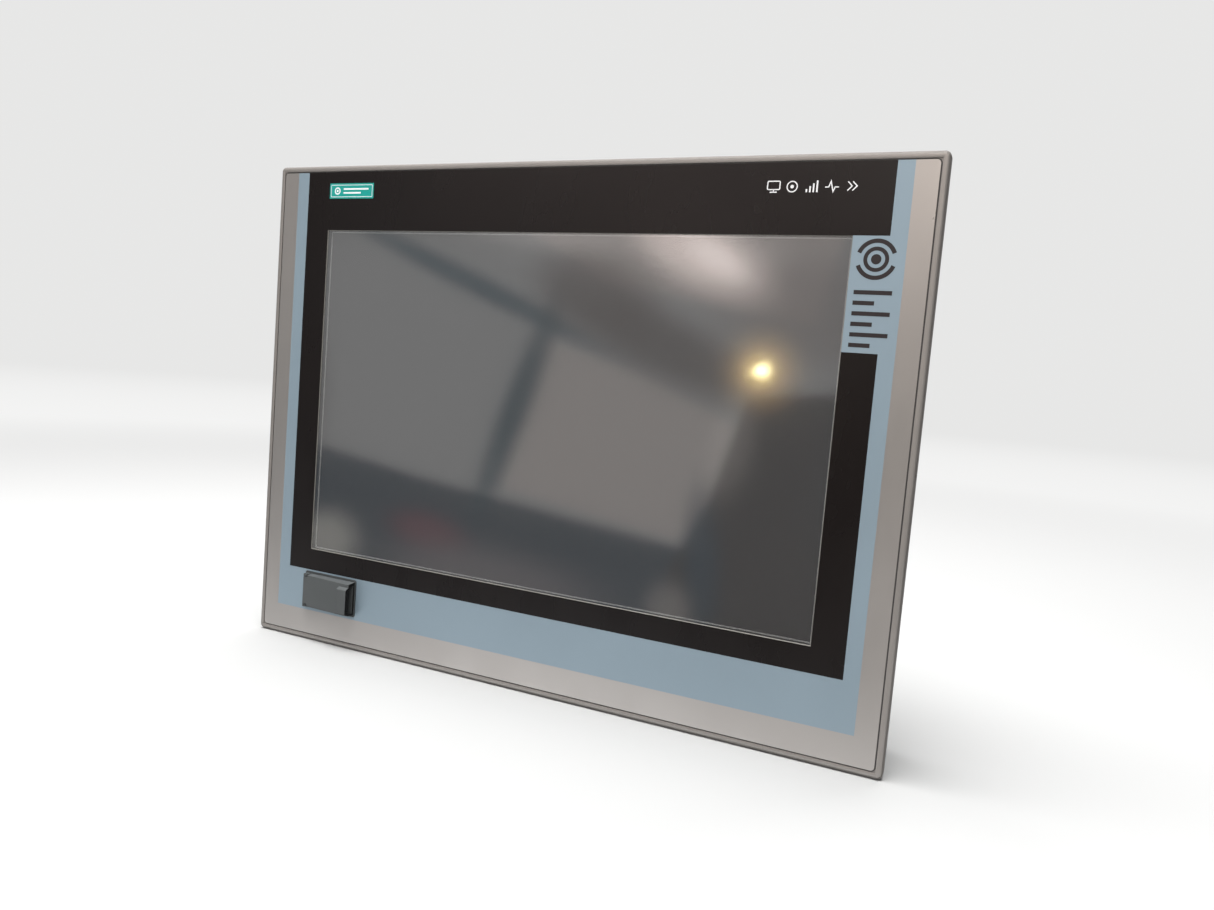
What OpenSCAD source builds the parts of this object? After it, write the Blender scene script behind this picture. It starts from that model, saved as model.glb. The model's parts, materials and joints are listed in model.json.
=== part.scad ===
// Built-in operator panel: a wide touch display in an aluminium front, with a computer in a sheet steel tub.
// X runs to the right seen from the front, Y runs back into the cabinet and Z runs up.
// The origin is the centre of the mounting cut-out, on the plane where the seal meets the cabinet door.

/* [Front] */
// Width of the aluminium front
front_w = 415; // [412:1:425]
// Height of the aluminium front
front_h = 310; // [307:1:320]
// Thickness of the aluminium front, from its face to its back
front_t = 7; // [7:0.5:9]
// Corner radius of the front
front_r = 3; // [2:0.5:6]
// Radius along the outer front edge
front_edge = 2; // [1:0.25:2.5]
// Width of the bare aluminium rim around the printed foil
rim_w = 4.3; // [3.9:0.1:5]
// Thickness of the printed foil
foil_t = 0.5; // [0.3:0.1:0.6]

/* [Screen] */
// Width of the active display area
screen_w = 331; // [325:1:333]
// Height of the active display area
screen_h = 207; // [200:1:209]
// Height of the screen's centre above the centre of the front
screen_z = 10.4; // [8:0.2:12]
// Depth of the display face behind the foil face
screen_depth = 3.4; // [3.4:0.1:3.6]

/* [Service port] */
// Distance of the port's centre to the left of the panel's centre
port_x = 148; // [146:1:150]
// Distance of the port's centre below the panel's centre
port_z = 121; // [120:0.5:122]
// Width of the port flap
flap_w = 40.3; // [40:0.1:41]
// Height of the port flap
flap_h = 22; // [21.6:0.2:22.4]
// How far the finger grip stands off the foil
grip_rise = 9; // [8.4:0.2:9.6]

/* [Housing] */
// Width of the cut-out in the cabinet door
cutout_w = 396; // [394:1:398]
// Height of the cut-out in the cabinet door
cutout_h = 291; // [289:1:293]
// Sheet thickness of the tub and the rear cover
sheet_t = 1.5; // [1.2:0.1:1.6]
// Depth of the tub behind the mounting plane
tub_depth = 38; // [38:0.5:40]
// Depth of the heat sink's fins behind the mounting plane
sink_depth = 67; // [62:1:72]
// Number of fins on the heat sink
fin_count = 27; // [15:2:31]

/* [Hidden] */

$fn = 48;
hull_fn = 32;
edge_step = 22.5;
edge_lap = 0.5;
over = 1;
merge = 0.1;

// Planes of the front, from the face backwards
frame_back = -1;
front_y = frame_back - front_t;
foil_back = front_y + 0.6;
foil_front = foil_back - foil_t;
foil_gap = 0.7;
foil_w = front_w - 2 * rim_w;
foil_h = front_h - 2 * rim_w;
foil_r = 2;
window_w = screen_w - 0.2;
window_h = screen_h + 0.5;
window_r = 0.6;
glass_w = 340;
glass_h = 217;
glass_t = 1.8;
glass_back = foil_back + glass_t;
glass_gap = 0.5;
tape_t = 0.3;
tape_back = glass_back + tape_t;
aperture_w = screen_w + 3.6;
aperture_h = screen_h + 4.4;

// Display module
module_y = foil_front + screen_depth;
module_w = 344;
module_h = 221;
bezel_t = 0.4;
bezel_skirt_y = 1.5;
cell_t = 1.85;
tray_back = 3.5;
tray_floor = 1.3;
tray_wall = 0.8;
tray_gap = 0.1;
recess_gap = 1;
display_plug = [130, 56];

// Seal
seal_w = front_w - 4;
seal_h = front_h - 4;
seal_in_w = cutout_w + 2.6;
seal_in_h = cutout_h + 2.6;
seal_r = 2.5;
seal_in_r = 3;
seal_sink = 1.2;
seal_gap = 0.2;

// Tub
tub_w = cutout_w - 2;
tub_h = cutout_h - 2;
tub_r = 3;
tub_back = tub_depth;
flange_w = 10.5;
flange_y = frame_back + sheet_t;
wall_x = tub_w / 2 - sheet_t;
wall_z = tub_h / 2 - sheet_t;
flange_mid = flange_w / 2 - 0.5;
screw_x = wall_x - flange_mid;
screw_z = wall_z - flange_mid;

// Clamp slots, where the mounting clips hook in
slot_y = 5;
slot_len = 14;
slot_r = 1.9;
slot_outer_x = 150;
slot_inner_x = 52;
slot_side_z = 62;
slot_cut = 4;

// Screws: head diameter, head height, shank diameter, shank length
m3_head = 5.6;
m3_head_h = 2;
m3_core = 2.5;
m3_len = 4;
m3_tap = 2.6;
m3_clear = 3.4;
m4_head = 7;
m4_head_h = 2.6;
m4_core = 3.3;
m4_len = 6;
m4_tap = 3.4;
m4_clear = 4.5;

// Tapped depths in the front, and the short screws that hold the drive
m4_hole = 5;
m3_hole = 4;
boss_hole = 5;
drive_screw = 2.1;

// Passage for the touch sensor's lead, and the lead itself
tail_x = [101, 119];
tail_slot_x = [98, 122];
tail_slot_z = [-104, -95.6];
tail_notch_z = [-99, -94];
tail_drop_z = -102.3;
tail_end_z = -107.3;
tail_glue_z = -95.8;

// Fastening points: [x, z]
housing_points = concat(
    [for (x = [-175, -100, 0, 100, 175], s = [-1, 1]) [x, s * screw_z]],
    [for (s = [-1, 1], z = [-30, 30]) [s * screw_x, z]]);
cover_points = concat(
    [for (x = [-178, -88, 0, 88, 178], s = [-1, 1]) [x, s * screw_z]],
    [for (s = [-1, 1], z = [-70, 0, 70]) [s * screw_x, z]]);
carrier_points = concat(
    [for (x = [-125, 125], s = [-1, 1]) [x, s * screw_z]],
    [for (s = [-1, 1], z = [-105, 105]) [s * screw_x, z]]);
bracket_points = [for (s = [-1, 1], z = [-60, 80]) [s * 180, z]];
touch_points = [for (x = [69, 151], z = [-124, -110]) [x, z]];
board_points = [for (x = [-116, 0, 116], z = [-112, 24]) [x, z]];
ssd_points = [for (x = [-117, -3], z = [62, 108]) [x, z]];
power_points = [for (x = [24, 96], z = [56, 108]) [x, z]];
sink_points = [for (x = [-1, 1], z = [-1, 0, 1]) [x, z]];

// Computer inside the tub
carrier_y = 8.5;
carrier_t = 1.2;
carrier_back = carrier_y + carrier_t;
board_y = 18;
board_t = 1.6;
board_back = board_y + board_t;
board_w = 244;
board_lo_z = -139.6;
board_hi_z = 30.4;
touch_board_y = 1.2;
touch_board_back = touch_board_y + board_t;
cpu_x = -20;
cpu_z = -30;
cpu_size = 37.5;
cpu_back = board_back + 2.8;
spreader_size = 60;
memory_x = 70;
memory_z = -42;
memory_y = board_back + 3.2;
ssd_y = carrier_back + 1;
ssd_t = 7;
power_y = 14;

// Connector field on the bottom of the tub
io_half = 125.2;
io_y0 = 18.4;
io_y1 = 35.4;
io_wall = 1;
io_rim = 5.8;
io_floor_z = -141;
io_rim_z = -wall_z;
mouth_z = -142.5;
io_fit = 0.3;
io_cut = 5;
dc_x = -104;
dc_size = [16, 11.4, 15];
lan_x = [-48, -30];
lan_size = [16, 13.5, 21];
lan_hole = [11.8, 7.6];
usb_x = [-4, 14];
usb_stack = [14.4, 15.2, 17];
usb_hole = [12.5, 5.1];
usb_tongue_size = [11.1, 1.84, 8.4];
usb_port_y = [board_back + 4.3, board_back + 11.2];
dp_x = 42;
dp_size = [18, 7.5, 14];
dp_hole = [16.1, 4.8];
dp_y = board_back + 3.9;
serial_x = 78;
serial_flange = [31, 12.5];
serial_y = board_back + 6.4;
serial_hole_pitch = 12.5;

// Switch: a rocker that tips about an axle along Y
switch_x = -78;
switch_y = 26.9;
switch_axle_z = -139.6;
switch_half = [6.9, 4.6];
switch_bezel = [7.7, 5.6];
switch_cavity = [5.6, 3.4];
rocker_half = [4.7, 3];
rocker_tilt = 10;
axle_r = 1;
axle_fit = 0.06;

// Rear of the tub
cover_y = tub_back;
cover_back = tub_back + sheet_t;
sink_x = -15;
sink_z = 10;
sink_w = 250;
sink_h = 170;
sink_base = 4;
sink_ear = 8;
fin_t = 2.2;
sink_screw_x = sink_w / 2 - 3.6;
sink_screw_z = sink_h / 2 - 12;
door_x = 90;
door_z = -101;
door_w = 44;
door_h = 32;
door_t = 1.5;
door_y = cover_back + 0.4;
bay_w = 34;
bay_h = 24;
door_pin_y = cover_back + 2.2;
door_pin_z = door_z - door_h / 2 - 2.2;
door_knuckle_r = 1.7;
door_pin_r = 0.8;
battery_r = 10;
earth = [-172, -124];
earth_d = 4;
plate_pos = [-169, 106];
plate_size = [40, 26];

// Service port on the front
px = -port_x;
pz = -port_z;
port_flange = [42, 24];
port_flange_y = front_y - 0.3;
port_body = [35.6, 17.6];
port_hole_gap = 0.4;
port_recess = [30, 13.4];
port_recess_x = px + 1;
port_recess_y = front_y + 3;
port_body_back = 2;
port_post_x = 14;
shell_size = [13.1, 5.7];
shell_wall = 0.3;
shell_back = 9;
usb_board_back = shell_back + board_t;
flap_left = px - flap_w / 2 + 0.15;
flap_right = flap_left + flap_w;
flap_lo = pz - flap_h / 2;
flap_hi = pz + flap_h / 2;
flap_back = port_flange_y - 0.2;
hinge_r = 1.75;
hinge_x = flap_left + hinge_r;
hinge_y = flap_back - 2;
hinge_pin_r = 0.75;
hinge_fit = 0.05;
hinge_press = 0.01;
ear_h = 2;
ear_gap = 0.3;
flap_shoulder = hinge_x + 2.6;
grip_w = 7.6;
grip_x = flap_right - grip_w;
grip_y = foil_front - grip_rise;
grip_top = 3.6;
grip_foot = 1.7;
grip_wall = 1.2;
flap_left_y = hinge_y - hinge_r;
flap_right_y = foil_front - 6.5;
flap_draft = 0.7;
seal_pad = [27.4, 12.2];
seal_pad_depth = 2.9;

// A rounded rectangle, centred
module rounded(w, h, r) {
    square([w - 2 * r, h], center = true);
    square([w, h - 2 * r], center = true);
    for (x = [-1, 1], z = [-1, 1]) translate([x * (w / 2 - r), z * (h / 2 - r)]) circle(r);
}

// A plate that lies parallel to the front, from depth y0 to depth y1
module plate(w, h, r, y0, y1, x = 0, z = 0) {
    translate([x, y1, z]) rotate([90, 0, 0]) linear_extrude(y1 - y0) {
        if (r > 0) rounded(w, h, r);
        else square([w, h], center = true);
    }
}

// A box from its lowest to its highest corner
module block(lo, hi) {
    translate(lo) cube(hi - lo);
}

// A round bar along Y
module bar_y(x, z, y0, y1, d) {
    translate([x, y1, z]) rotate([90, 0, 0]) cylinder(d = d, h = y1 - y0);
}

// A hexagonal bar along Y
module hex_y(x, z, y0, y1, d) {
    translate([x, y1, z]) rotate([90, 0, 0]) cylinder(d = d, h = y1 - y0, $fn = 6);
}

// A profile drawn in X and Y, drawn out along Z
module prism_z(points, z0, z1) {
    translate([0, 0, z0]) linear_extrude(z1 - z0) polygon(points);
}

// A profile drawn in Y and Z, drawn out along X
module prism_x(points, x0, x1) {
    translate([x0, 0, 0]) rotate([90, 0, 90]) linear_extrude(x1 - x0) polygon(points);
}

// A pan head screw whose head lies on the plane y and whose shank runs forward
module screw(x, z, y, head, head_h, core, len) {
    socket = head * 0.5;
    difference() {
        union() {
            bar_y(x, z, y, y + head_h, head);
            bar_y(x, z, y - len, y + over / 2, core);
        }
        hex_y(x, z, y + head_h * 0.4, y + head_h + over, socket);
    }
}

// The unit vector along v
function unit(v) = v / norm(v);

// A point on the curve that rounds off the corner b between a and c, t running from 0 to 1
function bend_point(a, b, c, radius, t) =
    let (p = b + unit(a - b) * radius, q = b + unit(c - b) * radius)
    (1 - t) * (1 - t) * p + 2 * t * (1 - t) * b + t * t * q;

// A route with every inner corner rounded off
function bent(points, radius) = concat(
    [points[0]],
    [for (i = [1 : len(points) - 2], t = [0 : 0.25 : 1])
        bend_point(points[i - 1], points[i], points[i + 1], radius, t)],
    [points[len(points) - 1]]);

// The direction of a route at its point i
function heading(route, i) = unit(route[min(i + 1, len(route) - 1)] - route[max(i - 1, 0)]);

// A round cable swept along a list of points
module cable(points, d, radius = 3) {
    sides = 10;
    steady = unit([0.62, 0.31, 0.72]);
    route = bent(points, radius);
    last = len(route) - 1;
    rings = [for (i = [0 : last])
        let (ahead = heading(route, i), side = unit(cross(ahead, steady)), up = cross(side, ahead))
        for (k = [0 : sides - 1])
            let (turn = 360 * k / sides) route[i] + d / 2 * (cos(turn) * side + sin(turn) * up)];
    walls = [for (i = [0 : last - 1], k = [0 : sides - 1])
        let (a = i * sides + k, b = i * sides + (k + 1) % sides) [a, b, b + sides, a + sides]];
    start = [for (k = [sides - 1 : -1 : 0]) k];
    end = [for (k = [0 : sides - 1]) last * sides + k];
    polyhedron(rings, concat([start], walls, [end]));
}

// A slot with round ends through a wall whose normal is Z
module slot_through_z(x, y, z, length, r) {
    for (s = [-1, 1]) translate([x + s * (length / 2 - r), y, z])
        cylinder(r = r, h = slot_cut, center = true);
    translate([x, y, z]) cube([length - 2 * r, 2 * r, slot_cut], center = true);
}

// A slot with round ends through a wall whose normal is X
module slot_through_x(x, y, z, length, r) {
    for (s = [-1, 1]) translate([x, y, z + s * (length / 2 - r)])
        rotate([0, 90, 0]) cylinder(r = r, h = slot_cut, center = true);
    translate([x, y, z]) cube([slot_cut, 2 * r, length - 2 * r], center = true);
}

// Hook slots on all four sides of the tub
module clamp_slots() {
    for (x = [-slot_outer_x, -slot_inner_x, slot_inner_x, slot_outer_x], s = [-1, 1])
        slot_through_z(x, slot_y, s * (wall_z + sheet_t / 2), slot_len, slot_r);
    for (z = [-slot_side_z, slot_side_z], s = [-1, 1])
        slot_through_x(s * (wall_x + sheet_t / 2), slot_y, z, slot_len, slot_r);
}

// ---- Front ----

module front_frame() {
    rear_recess_y = module_y - 0.2;
    boss_d = 6;
    color("silver") difference() {
        union() {
            plate(front_w, front_h, front_r, front_y + front_edge, frame_back);
            hull() for (a = [0 : edge_step : 90]) {
                inset = front_edge * (1 - cos(a));
                plate(front_w - 2 * inset, front_h - 2 * inset, front_r - inset,
                    front_y + front_edge * (1 - sin(a)), front_y + front_edge + edge_lap, $fn = hull_fn);
            }
            for (p = touch_points) bar_y(p[0], p[1], frame_back - over, touch_board_y, boss_d);
        }
        plate(foil_w + 2 * foil_gap, foil_h + 2 * foil_gap, foil_r, front_y - over, foil_back);
        plate(glass_w + 2 * glass_gap, glass_h + 2 * glass_gap, foil_r, front_y, tape_back, z = screen_z);
        plate(aperture_w, aperture_h, 1, front_y, frame_back + over, z = screen_z);
        plate(module_w + 2 * recess_gap, module_h + 2 * recess_gap, 1,
            rear_recess_y, frame_back + over, z = screen_z);
        difference() {
            plate(seal_w + 2 * seal_gap, seal_h + 2 * seal_gap, seal_r,
                frame_back - seal_sink, frame_back + over);
            plate(seal_in_w - 2 * seal_gap, seal_in_h - 2 * seal_gap, seal_in_r,
                front_y, frame_back + 2 * over);
        }
        plate(port_body[0] + port_hole_gap, port_body[1] + port_hole_gap, 1.2,
            front_y, frame_back + over, px, pz);
        block([tail_slot_x[0], tape_back - over, tail_slot_z[0]],
            [tail_slot_x[1], frame_back + over, tail_slot_z[1]]);
        for (p = housing_points) bar_y(p[0], p[1], frame_back - m4_hole, frame_back + over, m4_tap);
        for (p = bracket_points) bar_y(p[0], p[1], frame_back - m3_hole, frame_back + over, m3_tap);
        for (p = touch_points) bar_y(p[0], p[1], touch_board_y - boss_hole, touch_board_y + over, m3_tap);
    }
}

module front_foil() {
    port_gap = 0.3;
    color("lightsteelblue") difference() {
        plate(foil_w, foil_h, foil_r, foil_front, foil_back);
        plate(window_w, window_h, window_r, foil_front - over, foil_back + over, z = screen_z);
        plate(port_flange[0] + 2 * port_gap, port_flange[1] + 2 * port_gap, 1.5,
            foil_front - over, foil_back + over, px, pz);
    }
}

module touch_glass() {
    color([0.4, 0.41, 0.43]) plate(glass_w, glass_h, 1.5, foil_back, glass_back, z = screen_z);
}

module touch_tape() {
    color("dimgray") difference() {
        plate(glass_w, glass_h, 1.5, glass_back, tape_back, z = screen_z);
        plate(aperture_w, aperture_h, 1, glass_back - over, tape_back + over, z = screen_z);
        block([tail_slot_x[0], glass_back - over, tail_notch_z[0]],
            [tail_slot_x[1], tape_back + over, tail_notch_z[1]]);
    }
}

module panel_seal() {
    lip = 0.5;
    color([0.12, 0.12, 0.13]) {
        difference() {
            plate(seal_w, seal_h, seal_r, frame_back - seal_sink, 0);
            plate(seal_in_w, seal_in_h, seal_in_r, front_y, over);
            difference() {
                plate(seal_w + over, seal_h + over, seal_r, -lip, over);
                plate(seal_w - 2 * lip, seal_h - 2 * lip, seal_r - lip, -2 * lip, 2 * over);
            }
        }
    }
}

// ---- Display module ----

module display_bezel() {
    color("gainsboro") difference() {
        plate(module_w, module_h, 1, module_y, bezel_skirt_y, z = screen_z);
        plate(module_w - 2 * bezel_t, module_h - 2 * bezel_t, 0.6,
            module_y + bezel_t, bezel_skirt_y + over, z = screen_z);
        plate(screen_w, screen_h, 0, module_y - over, module_y + over, z = screen_z);
    }
}

module lcd_cell() {
    cell_gap = 4;
    color([0.2, 0.21, 0.23]) plate(module_w - cell_gap, module_h - cell_gap, 0,
        module_y + bezel_t, module_y + bezel_t + cell_t, z = screen_z);
}

module light_guide() {
    guide_w = module_w - 2 * (bezel_t + tray_gap + tray_wall) - 1;
    guide_h = module_h - 2 * (bezel_t + tray_gap + tray_wall) - 1;
    color("white") plate(guide_w, guide_h, 0,
        module_y + bezel_t + cell_t, tray_back - tray_floor, z = screen_z);
}

module display_tray() {
    tray_w = module_w - 2 * (bezel_t + tray_gap);
    tray_h = module_h - 2 * (bezel_t + tray_gap);
    rim_y = module_y + bezel_t + cell_t;
    rib = [46, 60];
    rib_r = 3;
    rib_h = 0.8;
    rib_x = [-110, -37, 37];
    rib_z = 45;
    plug = [16, 8];
    plug_h = 3;
    color("lightgray") {
        difference() {
            plate(tray_w, tray_h, 1, rim_y, tray_back, z = screen_z);
            plate(tray_w - 2 * tray_wall, tray_h - 2 * tray_wall, 0,
                rim_y - over, tray_back - tray_floor, z = screen_z);
        }
        for (x = rib_x, s = [-1, 1])
            plate(rib[0], rib[1], rib_r, tray_back - merge, tray_back + rib_h, x, screen_z + s * rib_z);
        plate(plug[0], plug[1], 0, tray_back - merge, tray_back + plug_h, display_plug[0], display_plug[1]);
    }
}

module display_brackets() {
    t = 1.2;
    w = 16;
    foot_in = 173.6;
    foot_out = 185;
    arm_in = 160;
    color("gainsboro") for (p = bracket_points) {
        s = sign(p[0]);
        difference() {
            translate([0, 0, p[1]]) mirror([s < 0 ? 1 : 0, 0, 0]) {
                block([foot_in, frame_back, -w / 2], [foot_out, frame_back + t, w / 2]);
                block([foot_in, frame_back, -w / 2], [foot_in + t, tray_back + t, w / 2]);
                block([arm_in, tray_back, -w / 2], [foot_in + t, tray_back + t, w / 2]);
            }
            bar_y(p[0], p[1], frame_back - over, frame_back + t + over, m3_clear);
        }
    }
}

module touch_board() {
    color("darkgreen") {
        difference() {
            plate(90, 22, 1, touch_board_y, touch_board_back, 110, -117);
            for (p = touch_points) bar_y(p[0], p[1], touch_board_y - over, touch_board_back + over, m3_clear);
        }
        plate(10, 10, 0, touch_board_back - merge, touch_board_back + 1.2, 128, -117);
        plate(24, 4, 0, touch_board_back - merge, touch_board_back + 1.8, 110, -109.4);
        plate(8, 6, 0, touch_board_back - merge, touch_board_back + 3, 80, -114);
        for (i = [0 : 5])
            plate(2, 1.2, 0, touch_board_back - merge, touch_board_back + 0.8, 92 + 4 * i, -122);
    }
}

module touch_tail() {
    t = 0.3;
    slack_y = touch_board_back + 1.2;
    color("orange") {
        block([tail_x[0], glass_back, tail_drop_z], [tail_x[1], glass_back + t, tail_glue_z]);
        block([tail_x[0], glass_back, tail_drop_z], [tail_x[1], slack_y, tail_drop_z + t]);
        block([tail_x[0], slack_y - t, tail_end_z], [tail_x[1], slack_y, tail_drop_z + t]);
    }
}

module touch_cable() {
    color("gray") {
        cable([[80, 4.4, -111], [80, 4.4, -103], [80, 13.2, -103], [92, 13.2, -103], [98, 16, -106]], 3);
        block([93, 14.6, -112], [103, board_y, -105]);
    }
}

module display_cable() {
    color("gray") {
        cable([[130, 5.7, 52], [130, 5.7, 42], [130, 13.2, 34], [127, 13.2, 12],
            [112, 13.4, 11], [106, 15, 5]], 4);
        block([98, 13, -2], [114, board_y, 8]);
    }
}

// ---- Service port ----

module usb_port_frame() {
    lug_y = frame_back;
    lug_t = 1.4;
    lug_w = 10;
    lug_h = 4;
    lug_out = 1.2;
    post_d = 4.4;
    peg_d = 2.2;
    peg_h = 0.8;
    color([0.36, 0.36, 0.37]) difference() {
        union() {
            plate(port_flange[0], port_flange[1], 1.5, port_flange_y, foil_back, px, pz);
            plate(port_body[0], port_body[1], 1, foil_back - 0.1, port_body_back, px, pz);
            for (s = [-1, 1]) plate(lug_w, lug_h, 0, lug_y, lug_y + lug_t,
                px, pz + s * (port_body[1] / 2 + lug_out - lug_h / 2));
            for (x = [px - port_post_x, px + port_post_x]) {
                bar_y(x, pz, port_body_back - over, usb_board_back + peg_h, peg_d);
                bar_y(x, pz, port_body_back - over, shell_back, post_d);
            }
            for (z = [flap_lo, flap_hi - ear_h]) {
                translate([hinge_x, hinge_y, z]) cylinder(r = hinge_r, h = ear_h);
                block([hinge_x - hinge_r, hinge_y, z], [hinge_x + hinge_r, port_flange_y + 0.1, z + ear_h]);
            }
        }
        plate(port_recess[0], port_recess[1], 1, port_flange_y - over, port_recess_y, port_recess_x, pz);
        plate(shell_size[0] + 0.5, shell_size[1] + 0.5, 0, front_y, port_body_back + over, port_recess_x, pz);
        translate([hinge_x, hinge_y, flap_lo - over])
            cylinder(r = hinge_pin_r + hinge_press, h = flap_h + 2 * over);
    }
}

module usb_shell() {
    color("silver") difference() {
        plate(shell_size[0], shell_size[1], 0.5, port_recess_y, shell_back, port_recess_x, pz);
        plate(shell_size[0] - 2 * shell_wall, shell_size[1] - 2 * shell_wall, 0.3,
            port_recess_y - over, shell_back - shell_wall, port_recess_x, pz);
    }
}

module usb_tongue() {
    base_y = shell_back - shell_wall - 4;
    color([0.15, 0.2, 0.5]) {
        plate(shell_size[0] - 1, shell_size[1] - 1, 0, base_y, shell_back - shell_wall, port_recess_x, pz);
        plate(usb_tongue_size[0], usb_tongue_size[1], 0,
            port_recess_y + 0.6, base_y + merge, port_recess_x, pz + 0.9);
    }
}

module usb_board() {
    color("darkgreen") {
        difference() {
            plate(36, 15, 1, shell_back, usb_board_back, px, pz);
            for (s = [-1, 1]) bar_y(px + s * port_post_x, pz, shell_back - over, usb_board_back + over, 2.4);
        }
        plate(9, 6, 0, usb_board_back - merge, usb_board_back + 3.4, px, pz);
    }
}

module usb_cable() {
    y = usb_board_back + 3.4;
    color("gray") {
        cable([[px, y, pz], [px, y + 3.4, pz], [-130, 15.2, -122], [-108, 14.8, -126]], 3.4);
        block([-112, 12.6, -130], [-100, board_y, -122]);
    }
}

module usb_hinge_pin() {
    color("silver") translate([hinge_x, hinge_y, flap_lo + 0.2]) cylinder(r = hinge_pin_r, h = flap_h - 0.4);
}

module usb_flap() {
    body_profile = [[hinge_x, flap_left_y], [grip_x + grip_wall, flap_right_y],
        [flap_right, flap_right_y], [flap_right, flap_back], [hinge_x + 1.4, flap_back],
        [hinge_x + 1.1, hinge_y + 1.1], [hinge_x, hinge_y]];
    draft_profile = [[flap_back, flap_lo], [flap_right_y, flap_lo + flap_draft],
        [flap_right_y, flap_hi - flap_draft], [flap_back, flap_hi]];
    cut = 0.5;
    grip_lo = flap_lo + grip_foot;
    grip_hi = flap_hi - grip_top;
    grip_profile = [[flap_back, flap_lo], [grip_y + cut, grip_lo], [grip_y, grip_lo + cut],
        [grip_y, grip_hi - cut], [grip_y + cut, grip_hi], [flap_back, flap_hi]];
    pocket_y = flap_back - 1.4;
    pocket_profile = [[pocket_y, flap_lo + 1.7], [grip_y + grip_wall, flap_lo + 3.1],
        [grip_y + grip_wall, flap_hi - grip_top - 1], [pocket_y, flap_hi - 1.9]];
    color([0.36, 0.36, 0.37]) difference() {
        union() {
            intersection() {
                prism_z(body_profile, flap_lo, flap_hi);
                prism_x(draft_profile, flap_left - over, flap_right);
            }
            prism_x(grip_profile, grip_x, flap_right);
            translate([hinge_x, hinge_y, flap_lo + ear_h + ear_gap])
                cylinder(r = hinge_r, h = flap_h - 2 * (ear_h + ear_gap));
        }
        for (z = [flap_lo - over, flap_hi - ear_h - ear_gap])
            block([flap_left - over, flap_right_y, z],
                [flap_shoulder, flap_back + over, z + ear_h + ear_gap + over]);
        prism_x(pocket_profile, grip_x + grip_wall, flap_right + over);
        translate([hinge_x, hinge_y, flap_lo - over])
            cylinder(r = hinge_pin_r + hinge_fit, h = flap_h + 2 * over);
    }
}

module usb_flap_seal() {
    lip = 0.4;
    lip_y = flap_back + 1.2;
    lip_t = 0.6;
    x = port_recess_x - 0.1;
    color([0.13, 0.13, 0.14]) difference() {
        union() {
            plate(seal_pad[0], seal_pad[1], 1.2, flap_back, flap_back + seal_pad_depth, x, pz);
            plate(seal_pad[0] + 2 * lip, seal_pad[1] + 2 * lip, 1.4, lip_y, lip_y + lip_t, x, pz);
        }
        plate(16, 8, 1, flap_back + 1, flap_back + seal_pad_depth + over, port_recess_x, pz);
    }
}

// ---- Tub and carrier ----

// Rows of ventilation slots through the top or bottom wall
module wall_vents(x0, x1, z) {
    pitch = 6.5;
    width = 2.6;
    for (x = [x0 : pitch : x1]) block([x, 13, z - 2], [x + width, 33, z + 2]);
}

module rear_housing() {
    inner_r = tub_r - sheet_t;
    open_w = 2 * (wall_x - flange_w);
    open_h = 2 * (wall_z - flange_w);
    color("lightgray") difference() {
        plate(tub_w, tub_h, tub_r, frame_back, tub_back);
        plate(2 * wall_x, 2 * wall_z, inner_r, flange_y, tub_back - sheet_t);
        plate(open_w, open_h, 2, frame_back - over, tub_back + over);
        block([-io_half, io_y0, -tub_h], [io_half, io_y1, -wall_z + over]);
        clamp_slots();
        wall_vents(-165, -20, wall_z + sheet_t / 2);
        wall_vents(20, 160, wall_z + sheet_t / 2);
        wall_vents(-182, -140, -wall_z - sheet_t / 2);
        wall_vents(140, 178, -wall_z - sheet_t / 2);
        for (p = housing_points) bar_y(p[0], p[1], frame_back - over, flange_y + over, m4_clear);
        for (p = carrier_points) bar_y(p[0], p[1], frame_back - over, flange_y + over, m3_clear);
        for (p = cover_points) bar_y(p[0], p[1], tub_back - sheet_t - over, tub_back + over, m3_tap);
    }
}

module housing_screws() {
    color("silver") for (p = housing_points) screw(p[0], p[1], flange_y, m4_head, m4_head_h, m4_core, m4_len);
}

module internal_screws() {
    color("silver") {
        for (p = bracket_points) screw(p[0], p[1], frame_back + 1.2, m3_head, m3_head_h, m3_core, m3_len);
        for (p = touch_points) screw(p[0], p[1], touch_board_back, m3_head, m3_head_h, m3_core, m3_len);
        for (p = carrier_points) screw(p[0], p[1], carrier_back, m3_head, m3_head_h, m3_core, m3_len);
        for (p = board_points) screw(p[0], p[1], board_back, m3_head, m3_head_h, m3_core, m3_len);
        for (p = ssd_points) screw(p[0], p[1], ssd_y, m3_head, m3_head_h, m3_core, drive_screw);
        for (p = power_points) screw(p[0], p[1], power_y + board_t, m3_head, m3_head_h, m3_core, m3_len);
    }
}

module carrier_plate() {
    w = 2 * wall_x - 5;
    h = 2 * wall_z - 5;
    color("gainsboro") difference() {
        plate(w, h, 3, carrier_y, carrier_back);
        plate(48, 34, 2, carrier_y - over, carrier_back + over, px, pz + 1);
        plate(30, 22, 2, carrier_y - over, carrier_back + over, 86, -102);
        plate(28, 30, 2, carrier_y - over, carrier_back + over, 130, 40);
        plate(70, 26, 2, carrier_y - over, carrier_back + over, 0, -20);
        plate(30, 60, 2, carrier_y - over, carrier_back + over, -160, 20);
        for (p = concat(carrier_points, board_points, power_points))
            bar_y(p[0], p[1], carrier_y - over, carrier_back + over, m3_clear);
        for (p = ssd_points) bar_y(p[0], p[1], carrier_y - over, carrier_back + over, m3_tap);
    }
}

// Hexagonal spacers with a tapped hole, riveted into the sheet below them
module posts(points, y0, y1) {
    rivet = 0.7;
    for (p = points) difference() {
        union() {
            hex_y(p[0], p[1], y0, y1, 6);
            bar_y(p[0], p[1], y0 - rivet, y0 + over, 3.2);
        }
        bar_y(p[0], p[1], y1 - 4, y1 + over, m3_tap);
    }
}

module carrier_posts() {
    color("silver") posts(carrier_points, flange_y, carrier_y);
}

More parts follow.
